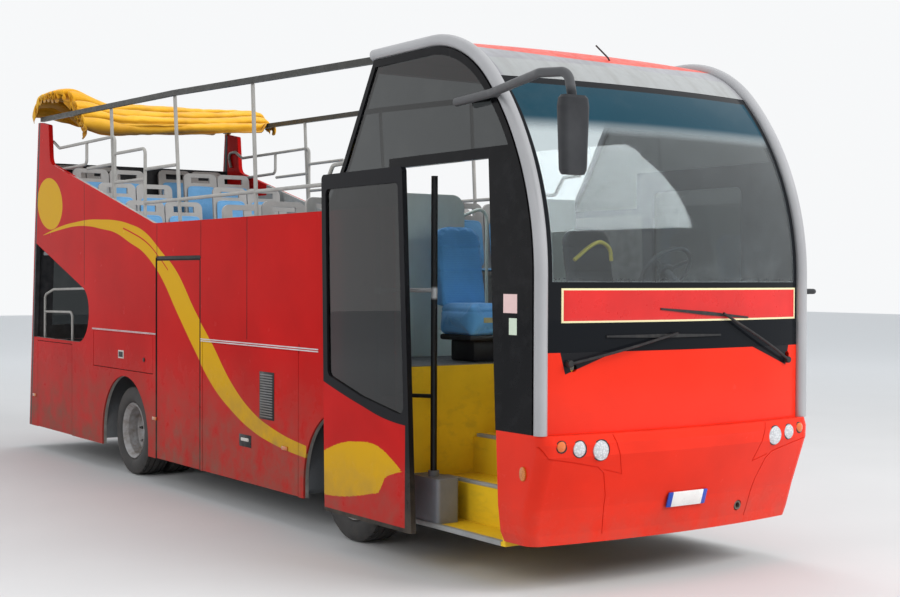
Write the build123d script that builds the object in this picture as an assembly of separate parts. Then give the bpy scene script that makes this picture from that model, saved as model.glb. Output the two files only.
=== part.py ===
from build123d import *
import math
import os

# An open top double decker sightseeing bus, in millimetres.
# +X points forward, +Y to the bus's left, +Z up. The origin lies on the ground below the middle of
# the whole bus with its mirrors. A station is a distance behind the middle of the bumper's face.

# Overall sizes
BODY_LENGTH = 10120
BODY_WIDTH = 2500
MIRROR_AHEAD = 450
FRONT_X = (BODY_LENGTH - MIRROR_AHEAD) / 2
HALF = BODY_WIDTH / 2
WALL = 50
INNER = HALF - WALL
GAP = 8
FIT = 0.3

# Heights of the body
SKIRT_Z = 263
WAIST_Z = 2610
FLOOR_SHEET = 40
CAB_FLOOR_Z = 1430
DECK_Z = 1700
LOUNGE_FLOOR_Z = 1180

# Wheels and axles
FRONT_AXLE = 2510
REAR_AXLE = 7040
TYRE_RADIUS = 460
TYRE_WIDTH = 275
RIM_RADIUS = 286
AXLE_Z = TYRE_RADIUS
FRONT_TRACK_Y = 1030
TWIN_OUTER_Y = 1030
TWIN_INNER_Y = 715
KINGPIN_Y = 860
STUD_COUNT = 10
STUD_CIRCLE = 335
STUD_RADIUS = 11
SPINDLE_RADIUS = 55
RUNNING_GAP = 0.5
ARCH_RADIUS = 635
ARCH_Z = 400
RAIL_Y = 400

# The silver hoop at each front corner: a straight leg, then tangent bends of radius and turn
HOOP_Y = 1215
HOOP_TUBE = 45
HOOP_STATION = 49
BUMPER_TOP_Z = 1070
HOOP_FOOT_Z = BUMPER_TOP_Z + FIT
HOOP_LEG = 1015
HOOP_BENDS = ((2000, 42.6), (1000, 47.4))
CAB_REAR = 2100

# The front between the hoops bulges forward by this much at its middle
BULGE = 100
SCREEN_HALF = HOOP_Y - HOOP_TUBE - 0.4
PLAN_RADIUS = (SCREEN_HALF**2 + BULGE**2) / (2 * BULGE)
MASK_TOP_Z = 1600
SCREEN_TOP_Z = 3450
BUMPER_BACK = 490

# The front door opening on the right, and its leaf, which stands open on two swinging arms
DOOR_SILL_Z = 275
DOOR_HEAD_Z = 2886
DOOR_FRONT_JAMB = (440, 580)
DOOR_REAR_JAMB = (1712, 1777)
LEAF_THICK = 40
LEAF_FRONT_GAP = 12
LEAF_REAR_GAP = 24
LEAF_BACK = 790
LEAF_OUT = 180
LEAF_SHUT_Y = -1207
LEAF_OPEN_Y = LEAF_SHUT_Y - LEAF_OUT
POST_STATION = 1450
POST_Y = -1100
BAR_STANDOFF = 34
BAR_RADIUS = 15
ARM_HEIGHTS = (1220, 1990)

# The middle door on the right
MID_DOOR = (5168, 6200)
MID_DOOR_TOP_Z = 2250

# Hinge rods lie in the gap beside what they carry
HINGE_RADIUS = 4.2
HINGE_OFF = HINGE_RADIUS + FIT
HINGE_IN = 4

# Flaps in the sides: front station, rear station, bottom, top
LOCKER_FLAP = (3240, 5105, 268, 1465)
ARCH_FLAP = (6290, 7940, 1105, 1485)
REAR_LOCKER = (8627, 9806, 268, 1297)

# The rear edge of the body leans forward as it rises
REAR_EDGE = ((BODY_LENGTH, SKIRT_Z), (9930, 2500), (9780, 3910))
POST_WIDE = 75


def x_at(station):
    return FRONT_X - station


FROM_FOOT = (Align.CENTER, Align.CENTER, Align.MIN)


def block(front, rear, y0, y1, z0, z1):
    """A box between two stations, two widths and two heights."""
    size = Box(rear - front, y1 - y0, z1 - z0)
    return Pos(x_at((front + rear) / 2), (y0 + y1) / 2, (z0 + z1) / 2) * size


def side_face(rows):
    """A closed outline seen from the side: rows of station, height, corner radius."""
    points = [(x_at(station), 0, height) for station, height, _ in rows]
    line = FilletPolyline(*points, radius=[radius for _, _, radius in rows], close=True)
    return Face(Wire(line.edges()))


def side_plate(rows, y0, y1):
    """A flat panel that lies along the bus, from y0 to y1."""
    face = side_face(rows)
    return Pos(0, y0, 0) * extrude(face, amount=y1 - y0, dir=(0, 1, 0))


def round_bar(start, end, radius):
    """A straight round bar between two points of station, y, z."""
    a = Vector(x_at(start[0]), start[1], start[2])
    b = Vector(x_at(end[0]), end[1], end[2])
    return Plane(origin=a, z_dir=b - a) * Cylinder(
        radius, (b - a).length, align=(Align.CENTER, Align.CENTER, Align.MIN))


def bent_tube(points, radius, bend):
    """A round tube through points of station, y, z, bent at each inner point."""
    route = [(x_at(station), y, z) for station, y, z in points]
    path = FilletPolyline(*route, radius=bend)
    return sweep(Plane(origin=path @ 0, z_dir=path % 0) * Circle(radius), path=Wire(path.edges()))


def y_cylinder(station, y0, y1, z, radius):
    """A cylinder across the bus."""
    low, high = min(y0, y1), max(y0, y1)
    body = Rot(-90, 0, 0) * Cylinder(radius, high - low, align=(Align.CENTER, Align.CENTER, Align.MIN))
    return Pos(x_at(station), low, z) * body


def mirrored(shape):
    return mirror(shape, about=Plane.XZ)


def pair(shape):
    return shape + mirrored(shape)


def save(name, shape):
    export_step(Compound(children=list(shape.solids())), f"parts/{name}.step")


def jamb_at(jamb, z):
    """The station of a leaning door jamb at a height."""
    return jamb[0] + (z - DOOR_SILL_Z) / (DOOR_HEAD_Z - DOOR_SILL_Z) * (jamb[1] - jamb[0])


# The hoop line and what follows it

def hoop_edges(inset):
    """The hoop's centre line moved inwards: a leg, tangent bends and a level run to the cab's end."""
    foot = Vector(x_at(HOOP_STATION + inset), 0, HOOP_FOOT_Z)
    knee = foot + Vector(0, 0, HOOP_LEG)
    edges = [Edge.make_line(foot, knee)]
    point = knee
    angle = 90.0
    for radius, turn in HOOP_BENDS:
        bend = radius - inset
        a = math.radians(angle)
        b = math.radians(angle + turn)
        middle = math.radians(angle + turn / 2)
        centre = point - Vector(math.sin(a), 0, -math.cos(a)) * bend
        mid = centre + Vector(math.sin(middle), 0, -math.cos(middle)) * bend
        end = centre + Vector(math.sin(b), 0, -math.cos(b)) * bend
        edges.append(Edge.make_three_point_arc(point, mid, end))
        point = end
        angle += turn
    edges.append(Edge.make_line(point, Vector(x_at(CAB_REAR), 0, point.Z)))
    return edges


def cab_face(inset):
    """The cab's side outline: the hoop line, carried on level to well behind the cab."""
    edges = hoop_edges(inset)
    end = edges[-1] @ 1
    corners = (end, Vector(x_at(CAB_REAR + 1000), 0, end.Z), Vector(x_at(CAB_REAR + 1000), 0, HOOP_FOOT_Z),
               edges[0] @ 0)
    edges += [Edge.make_line(a, b) for a, b in zip(corners, corners[1:])]
    return Face(Wire(edges))


def front_skin(outer, inner, z0, z1):
    """A curved piece of the front: a strip along the hoop line, bulged forward in plan."""
    strip = cab_face(outer) - cab_face(inner)
    front = -600
    rear = CAB_REAR + 400
    window = Plane.XZ * Pos(x_at((front + rear) / 2), (z0 + z1) / 2) * Rectangle(rear - front, z1 - z0)
    strip = Pos(BULGE, 0, 0) * strip & window
    axis_x = x_at(HOOP_STATION) + BULGE - PLAN_RADIUS
    half_angle = math.degrees(math.asin(SCREEN_HALF / (PLAN_RADIUS - 2600))) + 1
    axis = Axis((axis_x, 0, 0), (0, 0, 1))
    turned = strip.rotate(axis, -half_angle)
    skin = revolve(turned, axis=axis, revolution_arc=2 * half_angle)
    return skin & block(front, CAB_REAR, -SCREEN_HALF, SCREEN_HALF, z0 - 10, z1 + 10)


# Wipers: spindle's place, then the tip's
WIPERS = ((-970, 1500, 90, 1790), (1050, 1530, 250, 1800))
WIPER_SPINDLE = 26
ROOF_THICK = 40


def front_hoops():
    path = Wire(hoop_edges(0))
    start = path @ 0
    tube = sweep(Plane(origin=start, z_dir=(0, 0, 1)) * Circle(HOOP_TUBE), path=path)
    return pair(Pos(0, -HOOP_Y, 0) * tube)


def windscreen():
    return front_skin(2, 12, MASK_TOP_Z + FIT, SCREEN_TOP_Z)


def front_mask():
    skin = front_skin(0, 30, BUMPER_TOP_Z + FIT, MASK_TOP_Z)
    for y, z, _, _ in WIPERS:
        skin -= Pos(x_at(0), y, z) * Rot(0, 90, 0) * Cylinder(WIPER_SPINDLE + FIT, 400)
    return skin


def cab_roof():
    """Grey header above the windscreen and the roof behind it."""
    skin = front_skin(0, ROOF_THICK, SCREEN_TOP_Z + FIT, 3900)
    under = (hoop_edges(ROOF_THICK)[-1] @ 1).Z
    beam = block(CAB_REAR - 80, CAB_REAR, -SCREEN_HALF, SCREEN_HALF, under - 95, under + 1)
    return skin + beam


# The bumper

BUMPER_SECTIONS = (
    # height, how far the middle stands ahead of station 0, half width
    (330, -55, 1205),
    (400, -45, 1235),
    (575, 0, 1250),
    (930, 128, 1250),
    (1010, 132, 1250),
    (BUMPER_TOP_Z, 112, 1250),
)
BUMPER_CORNER = 100
BUMPER_WALL = 40


def bumper_face(z, nose, half_width, inset):
    """A level section of the bumper: a bowed front, round corners and straight sides."""
    half = half_width - inset
    reach = nose - inset
    corner_y = half - BUMPER_CORNER
    corner_x = FRONT_X + reach - (PLAN_RADIUS - math.sqrt(PLAN_RADIUS**2 - corner_y**2))
    side_x = corner_x - BUMPER_CORNER
    back_x = x_at(BUMPER_BACK)
    bow = BUMPER_CORNER * (1 - math.cos(math.radians(45)))
    edges = [
        Edge.make_line((back_x, -half, z), (side_x, -half, z)),
        Edge.make_three_point_arc((side_x, -half, z), (corner_x - bow, -corner_y - BUMPER_CORNER + bow, z),
                                  (corner_x, -corner_y, z)),
        Edge.make_three_point_arc((corner_x, -corner_y, z), (FRONT_X + reach, 0, z), (corner_x, corner_y, z)),
        Edge.make_three_point_arc((corner_x, corner_y, z), (corner_x - bow, corner_y + BUMPER_CORNER - bow, z),
                                  (side_x, half, z)),
        Edge.make_line((side_x, half, z), (back_x, half, z)),
        Edge.make_line((back_x, half, z), (back_x, -half, z)),
    ]
    return Face(Wire(edges))


def lamp_x(y, z):
    """How far forward the bumper's face stands at a lamp."""
    low, high = BUMPER_SECTIONS[3], BUMPER_SECTIONS[4]
    share = (z - low[0]) / (high[0] - low[0])
    nose = low[1] + share * (high[1] - low[1])
    return FRONT_X + nose - (PLAN_RADIUS - math.sqrt(PLAN_RADIUS**2 - y**2))


# Front lamps: distance from the middle, height, radius
FRONT_LAMPS = ((811, 965, 62), (975, 980, 48), (1110, 1000, 32))
LAMP_DEPTH = 90
LAMP_BULGE = 14
TOW_Y = 574
TOW_Z = 468
TOW_RADIUS = 20
TOW_DEPTH = 60
TOW_FACE = 50


PANEL_JOINTS = (
    # joints of the bumper's corner panels and of its middle panel: points of distance from the middle, height
    ((1245, 1000), (1200, 925), (1025, 895), (814, 852), (758, 805), (701, 651), (667, 383)),
    ((713, 1062), (613, 794), (758, 832)),
)
JOINT_WIDE = 7
JOINT_DEEP = 5


def joint_cutter(points):
    """A thin wall that runs along the bus and follows a joint seen from the front."""
    shape = Part()
    for (y0, z0), (y1, z1) in zip(points, points[1:]):
        length = math.hypot(y1 - y0, z1 - z0)
        lean = math.degrees(math.atan2(z1 - z0, y1 - y0))
        wall = Box(2000, length + JOINT_WIDE / 2, JOINT_WIDE)
        shape += Pos(0, (y0 + y1) / 2, (z0 + z1) / 2) * Rot(lean, 0, 0) * wall
    return Pos(FRONT_X, 0, 0) * shape


def bumper():
    outer = loft([bumper_face(z, nose, half, 0) for z, nose, half in BUMPER_SECTIONS], ruled=True)
    inner = loft([bumper_face(z, nose, half, BUMPER_WALL) for z, nose, half in BUMPER_SECTIONS], ruled=True)
    skin = outer - inner
    skin -= block(ENTRY[0] - ENTRY_WALL - FIT, BUMPER_BACK + 60, -INNER, INNER, 300, 1100)
    z, nose, half = BUMPER_SECTIONS[-1]
    shelf = extrude(bumper_face(z - 22, nose, half, 10) - bumper_face(z - 22, nose, half, 150), amount=22)
    shelf -= block(200, 900, -INNER, INNER, 1000, 1100)
    skin += shelf
    skin -= side_plate(((jamb_at(DOOR_FRONT_JAMB, 200), 200, 0), (jamb_at(DOOR_FRONT_JAMB, 1200), 1200, 0),
                        (1500, 1200, 0), (1500, 200, 0)), -HALF - 5, HALF + 5)
    for y, z, radius in FRONT_LAMPS:
        hole = Pos(lamp_x(y, z), y, z) * Rot(0, 90, 0) * Cylinder(radius + 4, 300)
        skin -= pair(hole)
    skin -= Pos(x_at(TOW_FACE), TOW_Y, TOW_Z) * Rot(0, 90, 0) * Cylinder(TOW_RADIUS + 18, 200)
    under = loft([bumper_face(z, nose, half, JOINT_DEEP) for z, nose, half in BUMPER_SECTIONS], ruled=True)
    for points in PANEL_JOINTS:
        skin -= pair(joint_cutter(points) - under)
    return skin


def lamp(radius, depth, bulge):
    """A round lamp that points forward: a can closed by a lens that is part of a sphere."""
    ball = (radius**2 + bulge**2) / (2 * bulge)
    middle = bulge - ball + math.sqrt(ball**2 - radius**2 / 4)
    edges = [
        Edge.make_line((-depth, 0, 0), (-depth, 0, radius)),
        Edge.make_line((-depth, 0, radius), (0, 0, radius)),
        Edge.make_three_point_arc((0, 0, radius), (middle, 0, radius / 2), (bulge, 0, 0)),
        Edge.make_line((bulge, 0, 0), (-depth, 0, 0)),
    ]
    return revolve(Face(Wire(edges)), axis=Axis.X)


def lamps():
    shapes = []
    for y, z, radius in FRONT_LAMPS:
        shapes.append(Pos(lamp_x(y, z), y, z) * lamp(radius + 3.7, LAMP_DEPTH, LAMP_BULGE))
    for y, z, radius in REAR_LAMPS:
        shapes.append(Pos(x_at(rear_station(z)), y, z) * Rot(0, 0, 180) * lamp(radius, REAR_WALL_THICK, 10))
    both = Part() + shapes
    return pair(both)


# The tail: distance from the middle, height, radius of each lamp
REAR_LAMPS = ((1090, 700, 48), (1090, 820, 48), (1090, 940, 48))


def rear_station(z):
    """The station of the body's rear edge at a height."""
    low, middle, top = REAR_EDGE
    a, b = (low, middle) if z < middle[1] else (middle, top)
    return a[0] + (z - a[1]) / (b[1] - a[1]) * (b[0] - a[0])


# The sides

ARCH_STATIONS = (FRONT_AXLE, REAR_AXLE)
REAR_PANE_ROWS = (
    # the open side of the rear platform: station, height, corner radius
    (8085, 1335, 340),
    (9990, 1340, 0),
    (9905, 2484, 0),
    (8085, 1888, 260),
)
SIDE_TAIL_ROWS = (
    # the top edge from the waist to the fin at the rear corner
    (6280, WAIST_Z, 500),
    (9365, 3405, 120),
    (9415, 3860, 30),
)


def post_face_rows():
    """The dark post along the body's rear edge."""
    rows = [(station, z, 0) for station, z in REAR_EDGE]
    back = [(station - POST_WIDE, z, 0) for station, z in reversed(REAR_EDGE)]
    return rows + back


def flap_rows(flap, grow=0):
    front, rear, low, high = flap
    return ((front - grow, low - grow, 0), (rear + grow, low - grow, 0),
            (rear + grow, high + grow, 0), (front - grow, high + grow, 0))


def side_cuts(y0, y1):
    """What both sides have cut out of them."""
    cuts = []
    for station in ARCH_STATIONS:
        cuts.append(y_cylinder(station, y0, y1, ARCH_Z, ARCH_RADIUS))
        cuts.append(block(station - ARCH_RADIUS, station + ARCH_RADIUS, y0, y1, 0, ARCH_Z))
    cuts.append(side_plate(REAR_PANE_ROWS, y0, y1))
    for flap in (LOCKER_FLAP, ARCH_FLAP):
        cuts.append(side_plate(flap_rows(flap, GAP), y0, y1))
    return cuts


def hinge_along(front, rear, side, z):
    """A hinge rod along the bus, in the gap above a flap."""
    rod = Rot(0, 90, 0) * Cylinder(HINGE_RADIUS, rear - front)
    return Pos(x_at((front + rear) / 2), side * (HALF - HINGE_IN), z + HINGE_OFF) * rod


def hinge_upright(station, side, z0, z1):
    """An upright hinge rod in the gap beside a door."""
    rod = Cylinder(HINGE_RADIUS, z1 - z0, align=(Align.CENTER, Align.CENTER, Align.MIN))
    return Pos(x_at(station), side * (HALF - HINGE_IN), z0) * rod


def flap_hinges(side):
    shape = Part()
    for front, rear, _, high in (LOCKER_FLAP, ARCH_FLAP):
        shape += hinge_along(front, rear, side, high)
    return shape


def side_rows(front_rows):
    rear = [(station - POST_WIDE - FIT, z, 0) for station, z in reversed(REAR_EDGE)]
    return list(front_rows) + list(SIDE_TAIL_ROWS) + rear


def side_right():
    jamb_foot = (jamb_at(DOOR_REAR_JAMB, SKIRT_Z), SKIRT_Z, 0)
    jamb_top = (jamb_at(DOOR_REAR_JAMB, WAIST_Z), WAIST_Z, 0)
    rows = side_rows((jamb_foot, jamb_top))
    panel = side_plate(rows, -HALF, -INNER)
    for cut in side_cuts(-HALF - 5, -INNER + 5):
        panel -= cut
    front, rear = MID_DOOR
    top = MID_DOOR_TOP_Z + 30
    panel -= side_plate(((front - GAP, 0, 0), (rear + GAP, 0, 0), (rear + GAP, top, 0), (front - GAP, top, 0)),
                        -HALF - 5, -INNER + 5)
    panel -= side_plate(flap_rows(REAR_LOCKER, GAP), -HALF - 5, -INNER + 5)
    panel += flap_hinges(-1)
    panel += hinge_upright(front - HINGE_OFF, -1, SKIRT_Z + 5, MID_DOOR_TOP_Z)
    panel += hinge_upright(REAR_LOCKER[1] + HINGE_OFF, -1, REAR_LOCKER[2], REAR_LOCKER[3])
    return panel


LEFT_BELT_Z = 1250


def side_left():
    rows = side_rows(((jamb_at(DOOR_FRONT_JAMB, SKIRT_Z) + FIT, SKIRT_Z, 0),
                      (jamb_at(DOOR_FRONT_JAMB, LEFT_BELT_Z) + FIT, LEFT_BELT_Z, 0),
                      (jamb_at(DOOR_REAR_JAMB, LEFT_BELT_Z), LEFT_BELT_Z, 0),
                      (jamb_at(DOOR_REAR_JAMB, WAIST_Z), WAIST_Z, 0)))
    panel = side_plate(rows, INNER, HALF)
    for cut in side_cuts(INNER - 5, HALF + 5):
        panel -= cut
    return panel + flap_hinges(1)


GLASS_SILL_Z = 2960
CAB_TAIL_ROWS = ((2030, 3800), (2060, 3705), (2510, 2973), (2760, WAIST_Z + FIT))
FRAME = 55
DRIVER_PANE = (640, 1640, 1690, 2790)


def cab_panel():
    """The cab's side between the hoop and the slanting rear edge, before its openings."""
    upper = side_face([(-200, WAIST_Z + FIT, 0), (-200, 3900, 0)]
                      + [(station, z, 0) for station, z in CAB_TAIL_ROWS])
    belt = WAIST_Z + 10
    foot = BUMPER_TOP_Z + FIT
    lower = side_face(((-200, foot, 0), (-200, belt, 0), (jamb_at(DOOR_REAR_JAMB, belt) - FIT, belt, 0),
                       (jamb_at(DOOR_REAR_JAMB, foot) - FIT, foot, 0)))
    region = upper + lower
    return region & cab_face(HOOP_TUBE + FIT)


def upper_pane(inset):
    """The upper side glass: over the door and back to the slanting edge."""
    tail = [(station - FRAME - inset, z, 0) for station, z in CAB_TAIL_ROWS[1:3]]
    end, belt = CAB_TAIL_ROWS[3]
    rows = [(-200, GLASS_SILL_Z + inset, 0), (-200, 3900, 0), (tail[0][0], 3900, 0)] + tail
    rows += [(end - FRAME * 1.6 - inset, belt + FRAME + inset, 0),
             (DOOR_REAR_JAMB[1] + FRAME + inset, belt + FRAME + inset, 0),
             (DOOR_REAR_JAMB[1] + FRAME + inset, GLASS_SILL_Z + inset, 0)]
    return side_face(rows) & cab_face(HOOP_TUBE + FRAME + inset)


def door_hole_rows(grow):
    front_low, front_high = DOOR_FRONT_JAMB
    rear_low, rear_high = DOOR_REAR_JAMB
    return ((front_low - grow, DOOR_SILL_Z - 200, 0), (front_high - grow, DOOR_HEAD_Z + grow, 0),
            (rear_high + grow, DOOR_HEAD_Z + grow, 0), (rear_low + grow, DOOR_SILL_Z - 200, 0))


def extruded_y(face, y0, y1):
    return Pos(0, y0, 0) * extrude(face, amount=y1 - y0, dir=(0, 1, 0))


def cab_sides():
    """Black frames of the cab: with the door opening on the right, the driver's window on the left."""
    panel = extruded_y(cab_panel(), -HALF, -INNER) - extruded_y(upper_pane(0), -HALF - 5, -INNER + 5)
    right = panel - side_plate(door_hole_rows(0), -HALF - 5, -INNER + 5)
    front, rear, low, high = DRIVER_PANE
    left = mirrored(panel)
    left -= side_plate(((front, low, 60), (rear, low, 60), (rear, high, 60), (front, high, 60)),
                       INNER - 5, HALF + 5)
    left -= side_plate(((jamb_at(DOOR_FRONT_JAMB, 1000), 1000, 0),
                        (jamb_at(DOOR_FRONT_JAMB, LEFT_BELT_Z + FIT), LEFT_BELT_Z + FIT, 0),
                        (2000, LEFT_BELT_Z + FIT, 0), (2000, 1000, 0)), INNER - 5, HALF + 5)
    return right + left


def side_glass():
    pane = extruded_y(upper_pane(FIT), -HALF + 12, -HALF + 20)
    front, rear, low, high = DRIVER_PANE
    driver = side_plate(((front + FIT, low + FIT, 60 - FIT), (rear - FIT, low + FIT, 60 - FIT),
                         (rear - FIT, high - FIT, 60 - FIT), (front + FIT, high - FIT, 60 - FIT)),
                        HALF - 20, HALF - 12)
    return pair(pane) + driver + rear_pane()


# The rear end

REAR_WALL_THICK = 45
REAR_TOP_Z = 3440
ENGINE_LID = (335, 1300)
LID_HALF = 960
REAR_PANE_Z = (1480, 2330)
REAR_PANE_HALF = 1020


def rear_slab(z0, z1, half, depth0, depth1):
    """A slab along the leaning rear edge, from depth0 to depth1 ahead of it."""
    heights = [z0] + [z for _, z in REAR_EDGE if z0 < z < z1] + [z1]
    rows = [(rear_station(z) - depth0, z, 0) for z in heights]
    rows += [(rear_station(z) - depth1, z, 0) for z in reversed(heights)]
    return side_plate(rows, -half, half)


def rear_wall():
    slab = rear_slab(SKIRT_Z + 40, REAR_TOP_Z, INNER - FIT, 6, 6 + REAR_WALL_THICK)
    slab -= rear_slab(ENGINE_LID[0] - GAP, ENGINE_LID[1] + GAP, LID_HALF + GAP, -30, 90)
    slab -= rear_slab(REAR_PANE_Z[0], REAR_PANE_Z[1], REAR_PANE_HALF, -30, 90)
    for y, z, radius in REAR_LAMPS:
        slab -= pair(Pos(x_at(rear_station(z)), y, z) * Rot(0, 90, 0) * Cylinder(radius + FIT, 200))
    hinge_z = ENGINE_LID[1] + HINGE_OFF
    slab += y_cylinder(rear_station(hinge_z) - 6 - HINGE_IN, -LID_HALF, LID_HALF, hinge_z, HINGE_RADIUS)
    post = side_plate(post_face_rows(), -HALF, -INNER)
    return slab + pair(post)


def rear_pane():
    return rear_slab(REAR_PANE_Z[0] + FIT, REAR_PANE_Z[1] - FIT, REAR_PANE_HALF - FIT, 18, 26)


def engine_lid():
    return rear_slab(ENGINE_LID[0], ENGINE_LID[1], LID_HALF, 6, 6 + REAR_WALL_THICK)


# Chassis, engine and tank

RAIL_Z = (560, 800)
CROSS_MEMBERS = (
    # station, 1 where an outrigger runs out to the left side, 1 where one runs out to the right
    (350, 0, 0),
    (1530, 1, 0),
    (3350, 1, 1),
    (4600, 1, 1),
    (5950, 1, 0),
    (8100, 1, 1),
    (9300, 1, 1),
)


TANK = (5300, 6150)
TANK_Y = (470, 1120)
TANK_Z = (330, 690)


def chassis_frame():
    low, high = RAIL_Z
    frame = pair(block(300, 9700, RAIL_Y - 40, RAIL_Y, low, high))
    for station, left, right in CROSS_MEMBERS:
        frame += block(station, station + 90, -RAIL_Y + 35, RAIL_Y - 35, low + 40, high - 40)
        arm = block(station, station + 90, RAIL_Y - 5, INNER - FIT, high - 100, high - 40)
        if left:
            frame += arm
        if right:
            frame += mirrored(arm)
    for axle in ARCH_STATIONS:
        for step in (-560, 500):
            frame += pair(block(axle + step, axle + step + 60, RAIL_Y - 70, RAIL_Y - 5, 430, 600))
    for station in (TANK[0] + 120, TANK[1] - 160):
        frame += block(station, station + 40, RAIL_Y - 5, TANK_Y[0] - FIT, low, TANK_Z[1] - 20)
    front_beam = block(300, 390, -700, 700, TOW_Z - 40, TOW_Z + 77)
    drops = pair(block(300, 390, RAIL_Y - 40, RAIL_Y, TOW_Z, low + 10))
    socket = Pos(x_at(301), TOW_Y, TOW_Z) * Rot(0, 90, 0) * Cylinder(
        TOW_RADIUS + 12, 301 - TOW_FACE, align=(Align.CENTER, Align.CENTER, Align.MIN))
    bore = Pos(x_at(TOW_FACE), TOW_Y, TOW_Z) * Rot(0, 90, 0) * Cylinder(
        TOW_RADIUS, TOW_DEPTH, align=(Align.CENTER, Align.CENTER, Align.MAX))
    return frame + front_beam + drops + socket - bore


def rail_room():
    """The room that walls leave for the two long chassis rails."""
    low, high = RAIL_Z
    return pair(block(0, 9990, RAIL_Y - 45, RAIL_Y + 5, low - 5, high + 5))


def engine_block():
    half = RAIL_Y - 40 - FIT
    engine = block(8300, 9650, -half, half, 420, 1120)
    gearbox = block(7800, 8301, -220, 220, 430, 800)
    body = engine + gearbox
    for station, _, _ in CROSS_MEMBERS:
        body -= block(station - 5, station + 95, -RAIL_Y, RAIL_Y, RAIL_Z[0] + 35, RAIL_Z[1] - 35)
    return body


def fuel_tank():
    tank = block(TANK[0], TANK[1], TANK_Y[0], TANK_Y[1], TANK_Z[0], TANK_Z[1])
    return fillet(tank.edges().filter_by(Axis.X), 70)


AXLE_BEAM_Z = 400
FRONT_DISH = 78
FRONT_CAP = 34
REAR_CAP = 40
DISC = 14
REAR_HUB_FACE = TWIN_OUTER_Y - 106


def front_axle():
    beam = y_cylinder(FRONT_AXLE, -560, 560, AXLE_BEAM_Z - 90, 50)
    for side in (-1, 1):
        end_y = side * (KINGPIN_Y - 110)
        beam += round_bar((FRONT_AXLE, side * 550, AXLE_BEAM_Z - 90), (FRONT_AXLE, end_y, AXLE_Z), 48)
        beam += Pos(x_at(FRONT_AXLE), end_y, AXLE_Z) * Cylinder(52, 110)
        eye_y = side * KINGPIN_Y
        low, high = sorted((end_y, side * (KINGPIN_Y - 10)))
        beam += block(FRONT_AXLE - 35, FRONT_AXLE + 35, low, high, AXLE_Z - 40, AXLE_Z + 40)
        beam += Pos(x_at(FRONT_AXLE), eye_y, AXLE_Z) * Cylinder(38, 90)
        spring = Cylinder(60, RAIL_Z[0] - FIT - 345, align=(Align.CENTER, Align.CENTER, Align.MIN))
        beam += Pos(x_at(FRONT_AXLE), side * (RAIL_Y - 25), 345) * spring
    return beam


KNUCKLE_GAP = 0.5


def knuckle(side):
    """Fork round the beam's eye, with the spindle that carries the wheel."""
    eye_y = side * KINGPIN_Y
    shape = Part()
    for low in (AXLE_Z - 45 - KNUCKLE_GAP - 30, AXLE_Z + 45 + KNUCKLE_GAP):
        shape += Pos(x_at(FRONT_AXLE), eye_y, low) * Cylinder(
            42, 30, align=(Align.CENTER, Align.CENTER, Align.MIN))
        y0, y1 = sorted((eye_y, side * (KINGPIN_Y + 72)))
        shape += block(FRONT_AXLE - 40, FRONT_AXLE + 40, y0, y1, low, low + 30)
    y0, y1 = sorted((side * (KINGPIN_Y + 50), side * (KINGPIN_Y + 76)))
    shape += block(FRONT_AXLE - 60, FRONT_AXLE + 60, y0, y1, AXLE_Z - 76, AXLE_Z + 76)
    shape += y_cylinder(FRONT_AXLE, side * (KINGPIN_Y + 70), side * (FRONT_TRACK_Y + 60), AXLE_Z,
                        SPINDLE_RADIUS)
    return shape


def rear_axle():
    beam = y_cylinder(REAR_AXLE, -560, 560, AXLE_Z, 85)
    end = REAR_HUB_FACE + REAR_CAP - 12
    beam += y_cylinder(REAR_AXLE, -end, end, AXLE_Z, SPINDLE_RADIUS)
    beam += y_cylinder(REAR_AXLE, -130, 130, AXLE_Z, 190)
    beam += round_bar((REAR_AXLE, 0, AXLE_Z), (7785, 0, 600), 45)
    for side in (-1, 1):
        spring = Cylinder(95, RAIL_Z[0] - FIT - AXLE_Z, align=(Align.CENTER, Align.CENTER, Align.MIN))
        beam += Pos(x_at(REAR_AXLE), side * (RAIL_Y - 20), AXLE_Z) * spring
    return beam


# Wheels

def tyre(y, side):
    """One tyre: a flat tread, round shoulders and bulged walls."""
    half = TYRE_WIDTH / 2
    bead = half - 30
    seat = RIM_RADIUS + 0.3
    rows = ((seat, -bead), (RIM_RADIUS + 70, -half), (TYRE_RADIUS - 22, -half + 6),
            (TYRE_RADIUS, -half + 26), (TYRE_RADIUS, half - 26), (TYRE_RADIUS - 22, half - 6),
            (RIM_RADIUS + 70, half), (seat, bead))
    face = Face(Wire.make_polygon([Vector(r, w, 0) for r, w in rows], close=True))
    return Pos(0, y, 0) * revolve(face, axis=Axis.Y)


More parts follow.
